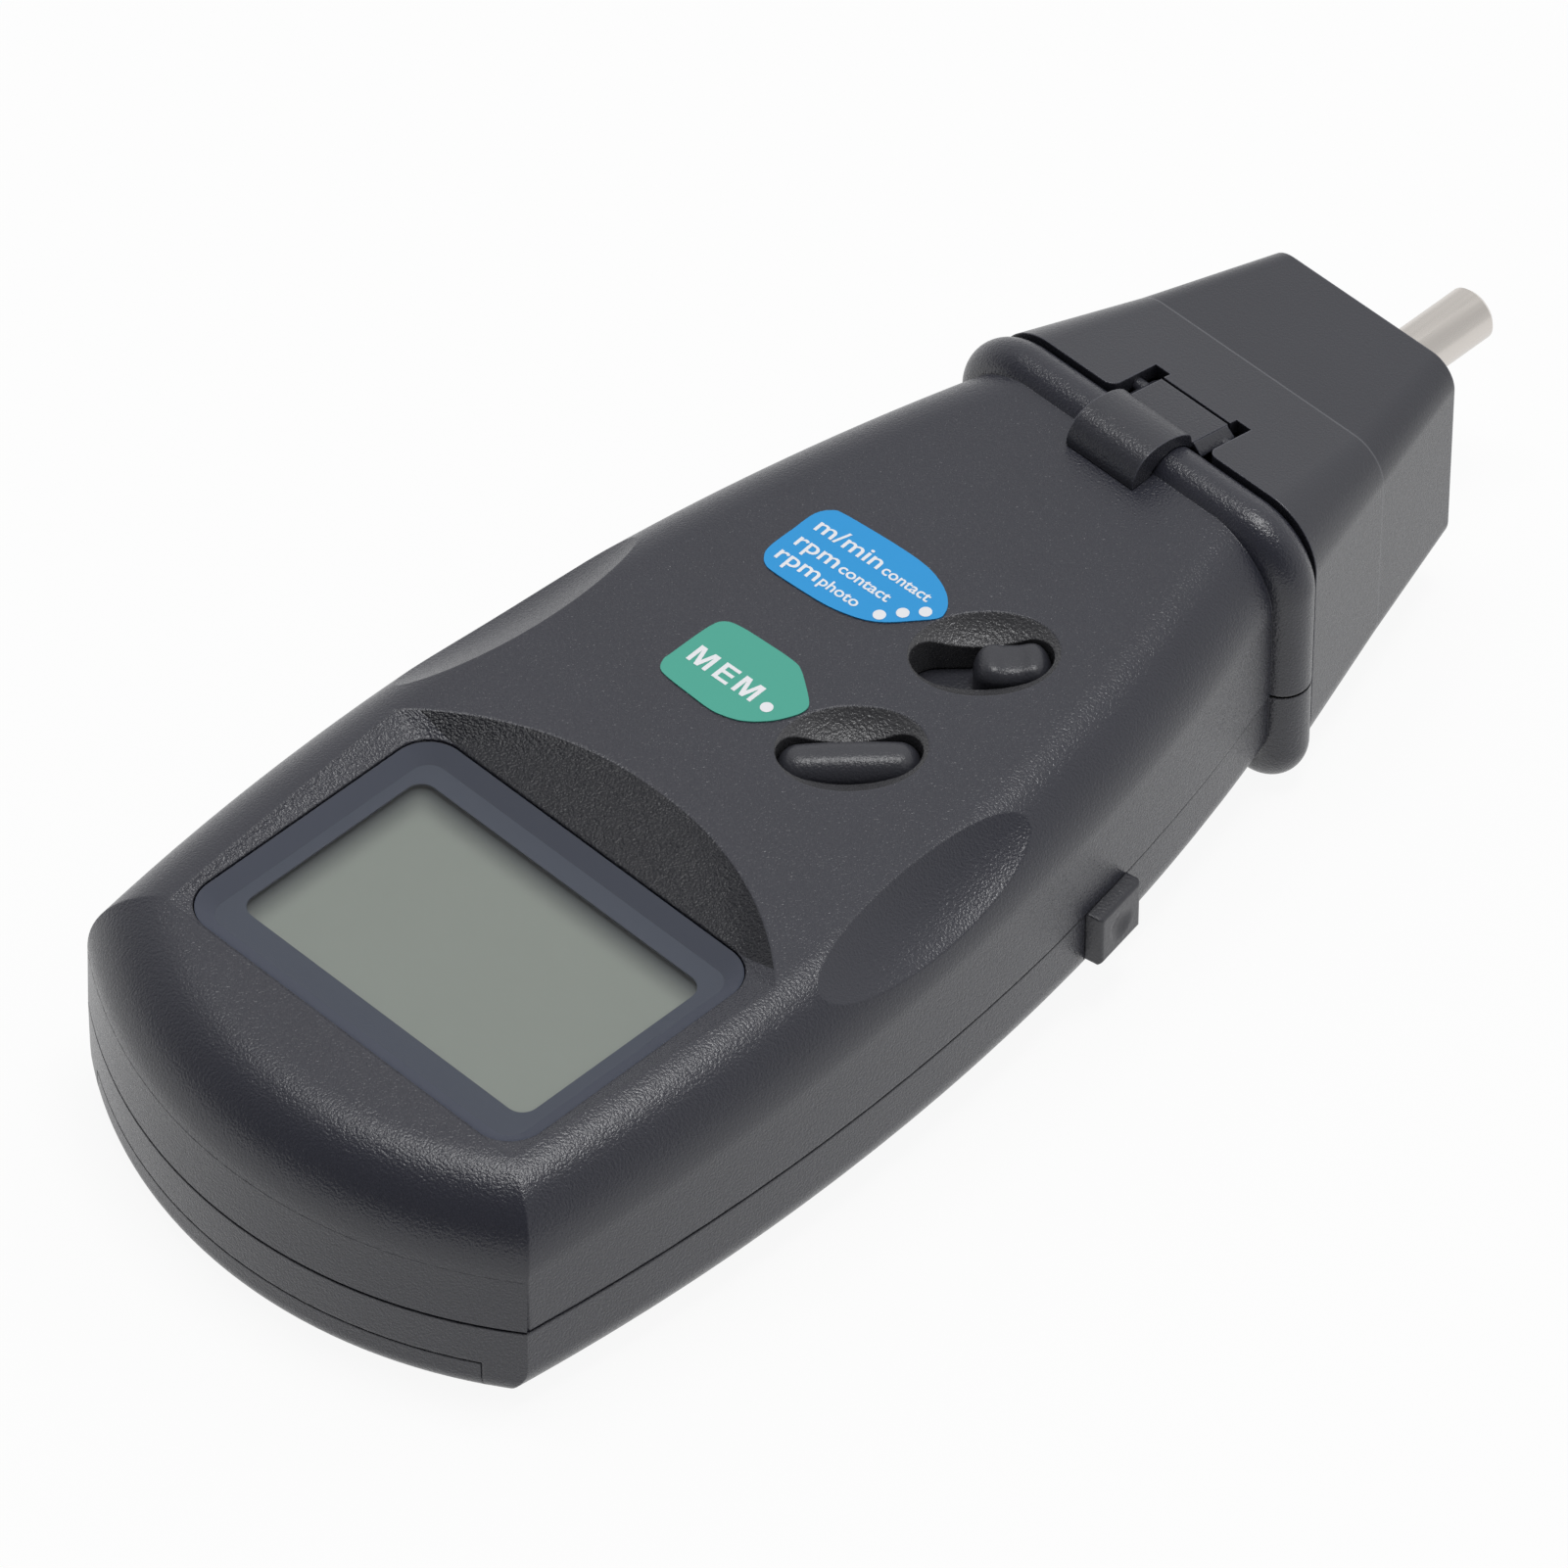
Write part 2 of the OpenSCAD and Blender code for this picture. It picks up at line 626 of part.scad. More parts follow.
// Adapter housing: a tapering shell with a spigot against the collar and a bulkhead for the rear bearing.
module adapter_housing() {
    color([0.36, 0.37, 0.39]) difference() {
        union() {
            difference() {
                adapter_block(0);
                adapter_block(adapter_wall);
            }
            intersection() {
                adapter_block(0.5);
                translate([-30, bulkhead_y[0], -10]) cube([60, bulkhead_y[1] - bulkhead_y[0], 60]);
            }
            translate([0, collar_y, axis_z]) rotate([-90, 0, 0]) linear_extrude(3) difference() {
                plate_2d(44.6, 31, 6);
                plate_2d(41.6, 28, 5);
            }
        }
        translate([0, 40, axis_z]) rotate([-90, 0, 0]) cylinder(r = bearing_r, h = 20);
        translate([0, front_bearing_y[1] - 1.2, axis_z]) rotate([-90, 0, 0]) linear_extrude(5)
            plate_2d(25.4, 24.6, 2.8);
        translate([-notch_w, 40, axis_z + 12]) cube([2 * notch_w, latch_at[0] - 38.1, 20]);
        for (s = [-1, 1]) {
            slit = notch_w - latch_w;
            translate([s * (notch_w - slit / 2) - slit / 2, 40, axis_z + 12])
                cube([slit, latch_at[0] - 37.1, 20]);
            translate([s * notch_w, collar_y, axis_z + 12]) difference() {
                translate([-1.3, 0, 0]) cube([2.6, 1.6, 20]);
                translate([s * 1.3, 1.6, -1]) cylinder(r = 1.3, h = 30);
            }
        }
        translate([-9.2, latch_at[0], latch_at[1]]) rotate([0, 90, 0]) cylinder(r = 0.8, h = 18.4);
    }
}

// Front cap with the boss of the front bearing.
module adapter_cap() {
    color([0.34, 0.35, 0.37]) translate([0, 0, axis_z]) rotate([-90, 0, 0]) difference() {
        union() {
            translate([0, 0, front_bearing_y[1] - 1.2]) linear_extrude(1.4) plate_2d(25.3, 24.5, 2.75);
            translate([0, 0, front_bearing_y[0]]) cylinder(r = bearing_r + 2, h = 4);
        }
        cylinder(r = bearing_r, h = 100);
    }
}

// Bronze sleeve bearing in the front cap.
module front_bearing() {
    color([0.62, 0.47, 0.25]) translate([0, 0, axis_z]) rotate([-90, 0, 0]) difference() {
        translate([0, 0, front_bearing_y[0]])
            cylinder(r = bearing_r, h = front_bearing_y[1] - front_bearing_y[0]);
        cylinder(r = journal_r + bearing_play, h = 100);
    }
}

// Bronze sleeve bearing in the bulkhead.
module rear_bearing() {
    color([0.62, 0.47, 0.25]) translate([0, 0, axis_z]) rotate([-90, 0, 0]) difference() {
        translate([0, 0, bulkhead_y[0]]) cylinder(r = bearing_r, h = bulkhead_y[1] - bulkhead_y[0]);
        cylinder(r = journal_r + bearing_play, h = 100);
    }
}

// Contact shaft: a journal with a shoulder ahead of the rear bearing, and a chamfered free end.
module contact_shaft() {
    color([0.75, 0.75, 0.76]) translate([0, 0, axis_z]) rotate([-90, 0, 0]) {
        translate([0, 0, 45.5]) cylinder(r = journal_r, h = adapter_y - 45);
        translate([0, 0, adapter_y]) cylinder(r = shaft_r, h = shaft_y - adapter_y - 0.5);
        translate([0, 0, shaft_y - 0.5]) cylinder(r1 = shaft_r, r2 = shaft_r - 0.5, h = 0.5);
        translate([0, 0, bulkhead_y[1] + 0.1]) cylinder(r = 4.3, h = 3);
    }
}

// Slotted encoder disc on the inner end of the shaft, with the hub that keeps it there.
module encoder_disc() {
    color([0.15, 0.15, 0.16]) translate([0, 0, axis_z]) rotate([-90, 0, 0]) difference() {
        union() {
            translate([0, 0, 46]) cylinder(r = 11.5, h = 1.2);
            translate([0, 0, 46]) cylinder(r = 4.8, h = bulkhead_y[0] - 46.15);
        }
        cylinder(r = journal_r, h = 100);
        for (a = [0:60:300]) rotate([0, 0, a]) translate([6.5, -1, 40]) cube([3.5, 2, 20]);
    }
}

// Latch: a sprung tongue in the adapter's top whose hook reaches over the collar bead.
module adapter_latch() {
    m = collar_mid;
    h = max(collar_h, top_at(m) + 1.5);
    end = latch_at[0] + 1.4;
    color([0.36, 0.37, 0.39]) difference() {
        union() {
            translate([-latch_w, 0, 0]) rotate([90, 0, 90]) linear_extrude(2 * latch_w)
                polygon([[m - 6.2, h - 1.55], [m - 6, h - 0.5], [m - 5.1, h + 1], [m - 4, h + 1.8],
                    [m - 2.6, h + 2.2], [m - 0.8, h + 2.15], [m + 0.8, h + 1.65], [m + 2.4, h + 0.55],
                    [m + 3.4, h - 0.4], [m + 4.6, adapter_top(m + 4.6)], [end, adapter_top(end)],
                    [end, adapter_top(end) - 1.1], [m + 4.9, adapter_top(m + 4.9) - 1.45],
                    [m + 3.6, h - 1.8], [m + 2.8, h - 0.9], [m + 1.6, h - 0.1], [m + 0.2, h + 0.2],
                    [m - 1.2, h + 0.05], [m - 2.6, h - 0.55], [m - 3.6, h - 1.55]]);
            translate([-latch_w, latch_at[0], latch_at[1]]) rotate([0, 90, 0])
                cylinder(r = 1.5, h = 2 * latch_w);
        }
        translate([-10, latch_at[0], latch_at[1]]) rotate([0, 90, 0]) cylinder(r = 0.85, h = 20);
    }
}

// Pin the latch turns on.
module latch_pin() {
    color([0.36, 0.37, 0.39]) translate([-9.2, latch_at[0], latch_at[1]]) rotate([0, 90, 0])
        cylinder(r = 0.8, h = 18.4);
}

// Main controller on the circuit board.
module microcontroller() {
    color([0.12, 0.12, 0.13]) translate([-18, -8, board_top]) cube([12, 12, 1.6]);
}

upper_case();
lower_case();
battery_door();
battery_cells();
battery_springs();
battery_contacts();
circuit_board();
board_screws();
case_screws();
display_window();
display_mask();
lcd_panel();
lcd_holder();
lcd_connectors();
mode_switch_knob();
mode_switch_stem();
mode_switch_body();
memory_button();
memory_plunger();
memory_switch();
test_button();
test_plunger();
test_switch();
mode_label();
memory_label();
optics_block();
laser_module();
receiver_lens();
nose_window();
adapter_housing();
adapter_cap();
front_bearing();
rear_bearing();
contact_shaft();
encoder_disc();
adapter_latch();
latch_pin();
microcontroller();
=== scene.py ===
"""A hand-held laser tachometer with its contact adapter clipped on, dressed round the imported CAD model."""
import math

import bmesh
import bpy
from mathutils import Matrix, Vector


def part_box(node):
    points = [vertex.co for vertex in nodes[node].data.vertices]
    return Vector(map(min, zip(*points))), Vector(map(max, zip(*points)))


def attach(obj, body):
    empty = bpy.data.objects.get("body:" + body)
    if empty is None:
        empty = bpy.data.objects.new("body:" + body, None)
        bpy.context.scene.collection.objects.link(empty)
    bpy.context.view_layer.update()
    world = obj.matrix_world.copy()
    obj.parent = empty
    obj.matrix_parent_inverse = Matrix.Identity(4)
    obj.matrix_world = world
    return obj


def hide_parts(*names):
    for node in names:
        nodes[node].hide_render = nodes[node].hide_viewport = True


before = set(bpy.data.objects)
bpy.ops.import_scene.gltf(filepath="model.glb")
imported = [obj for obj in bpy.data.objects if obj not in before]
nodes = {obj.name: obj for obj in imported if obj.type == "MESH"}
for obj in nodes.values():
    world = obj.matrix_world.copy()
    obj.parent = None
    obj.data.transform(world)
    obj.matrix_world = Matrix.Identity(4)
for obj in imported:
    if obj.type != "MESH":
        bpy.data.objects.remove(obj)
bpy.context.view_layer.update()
mm = 0.001

# Case halves. Two mouldings in charcoal ABS with a fine spark-eroded skin, screwed together from the back;
# the battery door slides out of the lower one. The skin's grain catches the light along the rounded edges,
# and it is coarser in the display recess and in the two oval wells.
CASE_GREY = (0.029, 0.03, 0.042)
# Painted shade: the far wall of the display recess is painted darker than the case, and its shine is lowered.
FAR_WALL_PAINTED_SHADE = (0.013, 0.0135, 0.018)
# Painted light: the two oval wells are painted paler than the case, standing in for light on their deep,
# shaded walls.
WELL_PAINTED_LIGHT = (0.058, 0.058, 0.063)
SATIN = {"depth": 0.08, "rough": 0.29, "span": 0.05, "edge": 0.4, "index": 1.55}
TOP_RISE = math.radians(1.69)
TOP_Y, TOP_Z = -84.1, 32.2
SUNK = 0.06
RECESS_Y, RECESS_R = -73.6, 42.1
RECESS_HALF, RECESS_FLARE = 32.3, 0.08
RECESS_NEAR_Y, RECESS_FAR_Y = -79, -41.3
WELL_MIDDLES, WELL_R = ((10.5, 6.2), (10.15, -13.5)), 9.2


def top_height(y):
    """Height of the sloping case top at a station, both in millimetres."""
    return TOP_Z + (y - TOP_Y) * math.tan(TOP_RISE)


def calc(tree, operation, *terms):
    """One step of arithmetic in a material, on sockets or plain numbers."""
    step = tree.nodes.new("ShaderNodeMath")
    step.operation = operation
    for socket, term in zip(step.inputs, terms):
        if isinstance(term, (int, float)):
            socket.default_value = term
        else:
            tree.links.new(term, socket)
    return step.outputs["Value"]


def plan_distance(tree, place, x, y):
    """How far a point lies from a place in plan."""
    flat = tree.nodes.new("ShaderNodeVectorMath")
    flat.operation = "MULTIPLY"
    flat.inputs[1].default_value = (1, 1, 0)
    tree.links.new(place, flat.inputs[0])
    gap = tree.nodes.new("ShaderNodeVectorMath")
    gap.operation = "DISTANCE"
    gap.inputs[1].default_value = (x * mm, y * mm, 0)
    tree.links.new(flat.outputs["Vector"], gap.inputs[0])
    return gap.outputs["Value"]


def pressed_in(tree, place):
    """Painted shade on the recess's far wall and painted light in the wells, with masks of the coarse skin
    and the dull far wall.
    """
    split = tree.nodes.new("ShaderNodeSeparateXYZ")
    tree.links.new(place, split.inputs["Vector"])
    x, y, z = split.outputs
    level = calc(tree, "SUBTRACT", calc(tree, "MULTIPLY_ADD", y, -math.tan(TOP_RISE), z), top_height(0) * mm)
    sunk = calc(tree, "LESS_THAN", level, -SUNK * mm)
    flank = calc(tree, "MULTIPLY_ADD", y, -RECESS_FLARE, calc(tree, "ABSOLUTE", x))
    recess = calc(tree, "LESS_THAN", plan_distance(tree, place, 0, RECESS_Y), RECESS_R * mm)
    recess = calc(tree, "MULTIPLY", recess, calc(tree, "LESS_THAN", flank, RECESS_HALF * mm))
    recess = calc(tree, "MULTIPLY", recess, calc(tree, "GREATER_THAN", y, RECESS_NEAR_Y * mm))
    recess = calc(tree, "MULTIPLY", recess, sunk)
    far_wall_shade = calc(tree, "MULTIPLY", recess, calc(tree, "GREATER_THAN", y, RECESS_FAR_Y * mm))
    ovals = [calc(tree, "LESS_THAN", plan_distance(tree, place, *middle), WELL_R * mm)
             for middle in WELL_MIDDLES]
    wells = calc(tree, "MULTIPLY", calc(tree, "MAXIMUM", *ovals), sunk)
    tones = [(recess, CASE_GREY), (far_wall_shade, FAR_WALL_PAINTED_SHADE), (wells, WELL_PAINTED_LIGHT)]
    return tones, calc(tree, "MAXIMUM", recess, wells), far_wall_shade


def moulded_skin(name, colour, grain=0.3, depth=0.03, rough=0.42, edge=0.3, flow=0.08, span=0.08,
                 index=1.5, painted_edge_light=0.0, zone=None):
    """Moulded plastic: a spark-eroded grain in millimetres, a slow drift of tone and softened edges, which
    can be painted paler as a painted highlight.

    A zone gives (mask, tone) pairs, which may be painted light or shade, and masks of where the grain is
    coarse and where the shine is dull.
    """
    drift_size, shine, dulling = 16, 0.5, 0.24
    skin = bpy.data.materials.new(name)
    skin.use_nodes = True
    tree = skin.node_tree
    link = tree.links.new
    shader = tree.nodes["Principled BSDF"]
    shader.inputs["IOR"].default_value = index
    place = tree.nodes.new("ShaderNodeTexCoord").outputs["Object"]

    def grains(size, detail):
        noise = tree.nodes.new("ShaderNodeTexNoise")
        noise.inputs["Scale"].default_value = 1 / (size * mm)
        noise.inputs["Detail"].default_value = detail
        noise.inputs["Roughness"].default_value = 0.6
        link(place, noise.inputs["Vector"])
        return noise.outputs["Fac"]

    def blend(amount, first, second):
        mix = tree.nodes.new("ShaderNodeMix")
        mix.data_type = "RGBA"
        link(amount, mix.inputs["Factor"])
        for socket, shade in (("A", first), ("B", second)):
            if isinstance(shade, tuple):
                mix.inputs[socket].default_value = (*shade, 1)
            else:
                link(shade, mix.inputs[socket])
        return mix.outputs["Result"]

    def tint(times):
        return tuple(c * times for c in colour)

    sparks = grains(grain, 1.5)
    height = sparks
    shade = blend(grains(drift_size, 2), tint(1 - flow), tint(1 + flow))
    if zone:
        tones, coarse, dull = zone(tree, place)
        for mask, tone in tones:
            shade = blend(mask, shade, tone)
        if coarse:
            height = calc(tree, "MULTIPLY", sparks, calc(tree, "ADD", coarse, 1))
        if dull:
            link(calc(tree, "MULTIPLY_ADD", dull, -dulling, shine), shader.inputs["Specular IOR Level"])
    relief = tree.nodes.new("ShaderNodeBump")
    relief.inputs["Strength"].default_value = 1
    relief.inputs["Distance"].default_value = depth * mm
    link(height, relief.inputs["Height"])
    link(relief.outputs["Normal"], shader.inputs["Normal"])
    if edge:
        soft = tree.nodes.new("ShaderNodeBevel")
        soft.samples = 6
        soft.inputs["Radius"].default_value = edge * mm
        link(soft.outputs["Normal"], relief.inputs["Normal"])
    # Painted highlight: where the softened normal turns from the face's own, the edge is painted paler,
    # standing in for the light that edges catch.
    if painted_edge_light:
        facing = tree.nodes.new("ShaderNodeVectorMath")
        facing.operation = "DOT_PRODUCT"
        link(soft.outputs["Normal"], facing.inputs[0])
        link(tree.nodes.new("ShaderNodeNewGeometry").outputs["Normal"], facing.inputs[1])
        edge_light_fade = tree.nodes.new("ShaderNodeMapRange")
        edge_light_fade.inputs["From Min"].default_value = 0.985
        edge_light_fade.inputs["From Max"].default_value = 0.9
        edge_light_fade.inputs["To Max"].default_value = painted_edge_light
        link(facing.outputs["Value"], edge_light_fade.inputs["Value"])
        shade = blend(edge_light_fade.outputs["Result"], shade, tint(4))
    link(shade, shader.inputs["Base Color"])

    sheen = tree.nodes.new("ShaderNodeMapRange")
    sheen.inputs["From Min"].default_value = 0.3
    sheen.inputs["From Max"].default_value = 0.7
    sheen.inputs["To Min"].default_value = rough - span
    sheen.inputs["To Max"].default_value = rough + span
    link(sparks, sheen.inputs["Value"])
    link(sheen.outputs["Result"], shader.inputs["Roughness"])
    return skin


def dress(node, material):
    """Gives a CAD node one material of the scene."""
    piece = nodes[node]
    piece.data.materials.clear()
    piece.data.materials.append(material)


dress("upper_case", moulded_skin("upper_skin", CASE_GREY, **SATIN, zone=pressed_in))
case_skin = moulded_skin("case_skin", CASE_GREY, **SATIN)
for half in ("lower_case", "battery_door"):
    dress(half, case_skin)

# End apron. The foot of the upper half's display end, of the same plastic and moulded in one with it, which
# brings the leaning end wall out flush with the lower half along the parting line.
END_R, END_Y = 57, -38.0
FOOT_Z, FADE_Z = 15.3, 22.6
APRON_TURN, APRON_STEPS = 36, 64
APRON_SINK, ROOT_SHARE, ROOT_IN = 0.01, 0.985, 1


def show(name, mesh, material, body, finish, *stands_for):
    """Adds a piece to the scene on the body that carries it, in place of the CAD nodes it stands for."""
    piece = bpy.data.objects.new(name, mesh)
    bpy.context.collection.objects.link(piece)
    mesh.materials.clear()
    mesh.materials.append(material)
    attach(piece, body)
    if stands_for:
        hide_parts(*stands_for)
    return piece


def finished(name, shape):
    """Turns a worked-out shape into a mesh with its faces outwards, smooth but for its sharp edges."""
    sharp = math.radians(35)
    bmesh.ops.recalc_face_normals(shape, faces=shape.faces)
    for face in shape.faces:
        face.smooth = True
    for line in shape.edges:
        line.smooth = line.calc_face_angle(0) < sharp
    mesh = bpy.data.meshes.new(name)
    shape.to_mesh(mesh)
    shape.free()
    return mesh


apron = bmesh.new()
foot, root, fade = [], [], []
end_lean = (TOP_Z - FADE_Z) * math.tan(TOP_RISE)
for k in range(APRON_STEPS + 1):
    a = math.radians(-APRON_TURN + 2 * APRON_TURN * k / APRON_STEPS)
    x, y = END_R * math.sin(a), END_Y - END_R * math.cos(a)
    foot.append(apron.verts.new((x * mm, (y + APRON_SINK) * mm, FOOT_Z * mm)))
    root.append(apron.verts.new((x * ROOT_SHARE * mm, (y + ROOT_IN) * mm, FOOT_Z * mm)))
    fade.append(apron.verts.new((x * mm, (y + end_lean - APRON_SINK) * mm, FADE_Z * mm)))
for k in range(APRON_STEPS):
    for one, other in ((foot, fade), (fade, root), (root, foot)):
        apron.faces.new((one[k], one[k + 1], other[k + 1], other[k]))
for k in (0, APRON_STEPS):
    apron.faces.new((foot[k], fade[k], root[k]))
apron_skin = moulded_skin("apron_skin", CASE_GREY, **{**SATIN, "edge": 0})
show("end_apron", finished("end_apron", apron), apron_skin, "case", "case_plastic")

# Nose collar. A round bead moulded round the nose in the case plastic, half on each case half, with the
# parting line across it; these bands give the bead its full round over the collar of the CAD halves.
BEAD, BEAD_Y = 3.215, 41.0


def band(shape, one, other):
    """Joins two closed rings with a strip of faces."""
    count = len(one)
    for k in range(count):
        after = (k + 1) % count
        shape.faces.new((one[k], one[after], other[after], other[k]))


def loft(*rings):
    """A closed solid through rings of points in millimetres."""
    shape = bmesh.new()
    loops = [[shape.verts.new([c * mm for c in point]) for point in ring] for ring in rings]
    for one, other in zip(loops, loops[1:]):
        band(shape, one, other)
    shape.faces.new(list(reversed(loops[0])))
    shape.faces.new(loops[-1])
    return shape


def collar_band(name, corner, corner_x, corner_z, seam_z):
    """Half of the bead, from the seam on one side over two corners to the seam on the other."""
    swing = 90 if corner_z > seam_z else -90
    path = [(corner_x + corner, seam_z, 0)]
    path += [(corner_x + corner * math.cos(a), corner_z + corner * math.sin(a), a)
             for a in [math.radians(swing * k / 18) for k in range(19)]]
    path += [(-x, z, math.pi - a) for x, z, a in reversed(path)]
    turns = [math.radians(-90 + 155 * k / 24) for k in range(25)]
    section = [(BEAD * math.cos(a), BEAD_Y + BEAD * math.sin(a)) for a in turns]
    section.append((0, section[-1][1]))
    rings = [[(x + out * math.cos(a), y, max(0, z + out * math.sin(a))) for out, y in section]
             for x, z, a in path]
    show(name, finished(name, loft(*rings)), case_skin, "case", "case_plastic")


collar_band("collar_band_upper", corner=5.8, corner_x=16.5, corner_z=28.4, seam_z=15.3)
collar_band("collar_band_lower", corner=2.8, corner_x=19.5, corner_z=6.0, seam_z=15.0)

# Board, cells and small mouldings. A resist-coated board, black switches and optics, white stems and holder
# and four sleeved cells. They are screwed, clipped or dropped in, and show only through the bay, a well or
# the nose.
board_resist = moulded_skin("board_resist", (0.02, 0.12, 0.05), grain=0.8, depth=0.01, rough=0.35, flow=0.2)
works_black = moulded_skin("works_black", (0.015, 0.015, 0.017), grain=0.4, depth=0.02, rough=0.5)
works_white = moulded_skin("works_white", (0.6, 0.6, 0.56), grain=0.4, depth=0.02, rough=0.5, flow=0.04)
cell_sleeve = moulded_skin("cell_sleeve", (0.16, 0.18, 0.21), grain=2.0, depth=0.004, rough=0.3)
for piece, skin in {
    "circuit_board": board_resist, "microcontroller": works_black, "mode_switch_body": works_black,
    "memory_switch": works_black, "test_switch": works_black, "optics_block": works_black,
    "encoder_disc": works_black, "lcd_connectors": works_black, "lcd_holder": works_white,
    "mode_switch_stem": works_white, "memory_plunger": works_white, "test_plunger": works_white,
    "battery_cells": cell_sleeve,
}.items():
    dress(piece, skin)

# Small metal parts. Plated springs, contact plates and screws, two bronze sleeves pressed into the adapter
# and the laser's turned brass barrel in the optics block.


def worked_metal(name, colour, rough, along=1.0):
    """Plated or turned metal: tool lines stretched along the shaft's direction and a slight drift of tone."""
    metal = bpy.data.materials.new(name)
    metal.use_nodes = True
    tree = metal.node_tree
    link = tree.links.new
    shader = tree.nodes["Principled BSDF"]
    shader.inputs["Metallic"].default_value = 1
    place = tree.nodes.new("ShaderNodeTexCoord").outputs["Object"]
    stretch = tree.nodes.new("ShaderNodeMapping")
    stretch.inputs["Scale"].default_value = (1, along, 1)
    link(place, stretch.inputs["Vector"])
    lines = tree.nodes.new("ShaderNodeTexNoise")
    lines.inputs["Scale"].default_value = 1400
    lines.inputs["Detail"].default_value = 3
    link(stretch.outputs["Vector"], lines.inputs["Vector"])
    tone = tree.nodes.new("ShaderNodeMix")
    tone.data_type = "RGBA"
    tone.inputs["A"].default_value = (*[c * 0.85 for c in colour], 1)
    tone.inputs["B"].default_value = (*colour, 1)
    link(lines.outputs["Fac"], tone.inputs["Factor"])
    link(tone.outputs["Result"], shader.inputs["Base Color"])
    sheen = tree.nodes.new("ShaderNodeMapRange")
    sheen.inputs["To Min"].default_value = rough * 0.7
    sheen.inputs["To Max"].default_value = rough * 1.4
    link(lines.outputs["Fac"], sheen.inputs["Value"])
    link(sheen.outputs["Result"], shader.inputs["Roughness"])
    relief = tree.nodes.new("ShaderNodeBump")
    relief.inputs["Distance"].default_value = 0.004 * mm
    link(lines.outputs["Fac"], relief.inputs["Height"])
    link(relief.outputs["Normal"], shader.inputs["Normal"])
    return metal


spring_nickel = worked_metal("spring_nickel", (0.62, 0.6, 0.55), 0.3)
screw_zinc = worked_metal("screw_zinc", (0.55, 0.56, 0.58), 0.32)
sleeve_bronze = worked_metal("sleeve_bronze", (0.45, 0.3, 0.13), 0.4)
laser_brass = worked_metal("laser_brass", (0.6, 0.42, 0.16), 0.25)
for piece, metal in {
    "battery_springs": spring_nickel, "battery_contacts": spring_nickel, "board_screws": screw_zinc,
    "case_screws": screw_zinc, "front_bearing": sleeve_bronze, "rear_bearing": sleeve_bronze,
    "laser_module": laser_brass,
}.items():
    dress(piece, metal)

# Display window. A clear acrylic pane with a chamfered rim, dropped into a ledge of the upper case, over a
# slate border print that turns up round the pane's edge.
WINDOW_Y, WINDOW_Z = -59.9, 32
WINDOW_W, WINDOW_L, WINDOW_CORNER = 50.5, 37, 4.5
PANE_T, PANE_CHAMFER = 1.55, 0.2
PRINT_Z, PRINT_TOP = 30.41, 31.75
PRINT_EDGE, PRINT_FOOT = 0.06, 2.2
window_clear = bpy.data.materials.new("window_clear")
window_clear.use_nodes = True
tree = window_clear.node_tree
tree.nodes.remove(tree.nodes["Principled BSDF"])
see_through = tree.nodes.new("ShaderNodeBsdfTransparent")
see_through.inputs["Color"].default_value = (0.95, 0.965, 0.97, 1)
gloss = tree.nodes.new("ShaderNodeBsdfGlossy")
gloss.inputs["Roughness"].default_value = 0.08
slant = tree.nodes.new("ShaderNodeLayerWeight").outputs["Facing"]
glance = calc(tree, "MULTIPLY_ADD", calc(tree, "POWER", slant, 5), 0.5, 0.025)
sheet = tree.nodes.new("ShaderNodeMixShader")
tree.links.new(glance, sheet.inputs["Fac"])
tree.links.new(see_through.outputs["BSDF"], sheet.inputs[1])
tree.links.new(gloss.outputs["BSDF"], sheet.inputs[2])
tree.links.new(sheet.outputs["Shader"], tree.nodes["Material Output"].inputs["Surface"])


def window_ring(inset, z):
    """The window's round-cornered outline at a height, drawn in all round by an inset."""
    corner = WINDOW_CORNER - inset
    ring = []
    for k, (sx, sy) in enumerate([(1, 1), (-1, 1), (-1, -1), (1, -1)]):
        for step in range(13):
            a = math.radians(90 * k + 7.5 * step)
            ring.append((sx * (WINDOW_W / 2 - WINDOW_CORNER) + corner * math.cos(a),
                         WINDOW_Y + sy * (WINDOW_L / 2 - WINDOW_CORNER) + corner * math.sin(a), z))
    return ring


pane = loft(window_ring(0, WINDOW_Z - PANE_T), window_ring(0, WINDOW_Z - PANE_CHAMFER),
            window_ring(PANE_CHAMFER, WINDOW_Z))
show("window_pane", finished("window_pane", pane), window_clear, "case", "window_clear", "display_window")
border_print = moulded_skin("border_print", (0.082, 0.088, 0.116), grain=2, depth=0.0005, rough=0.5, edge=0,
                            flow=0.03, span=0.02, index=1.05)
dress("display_mask", border_print)
wall = bmesh.new()
rings = [[wall.verts.new([c * mm for c in point]) for point in window_ring(inset, z)]
         for inset, z in [(PRINT_EDGE, PRINT_Z), (PRINT_EDGE, PRINT_TOP), (PRINT_FOOT, PRINT_Z)]]
for k in range(3):
    band(wall, rings[k - 1], rings[k])
show("border_edge", finished("border_edge", wall), border_print, "case", "mask_print")

# Display panel. A blank liquid crystal cell of grey-green glass, carried by the board below the window; its
# far and left edges are painted darker, as painted shade from the border.
PANEL_LEFT, PANEL_FAR, SHADE_W = -21.9, -45.9, 4.4


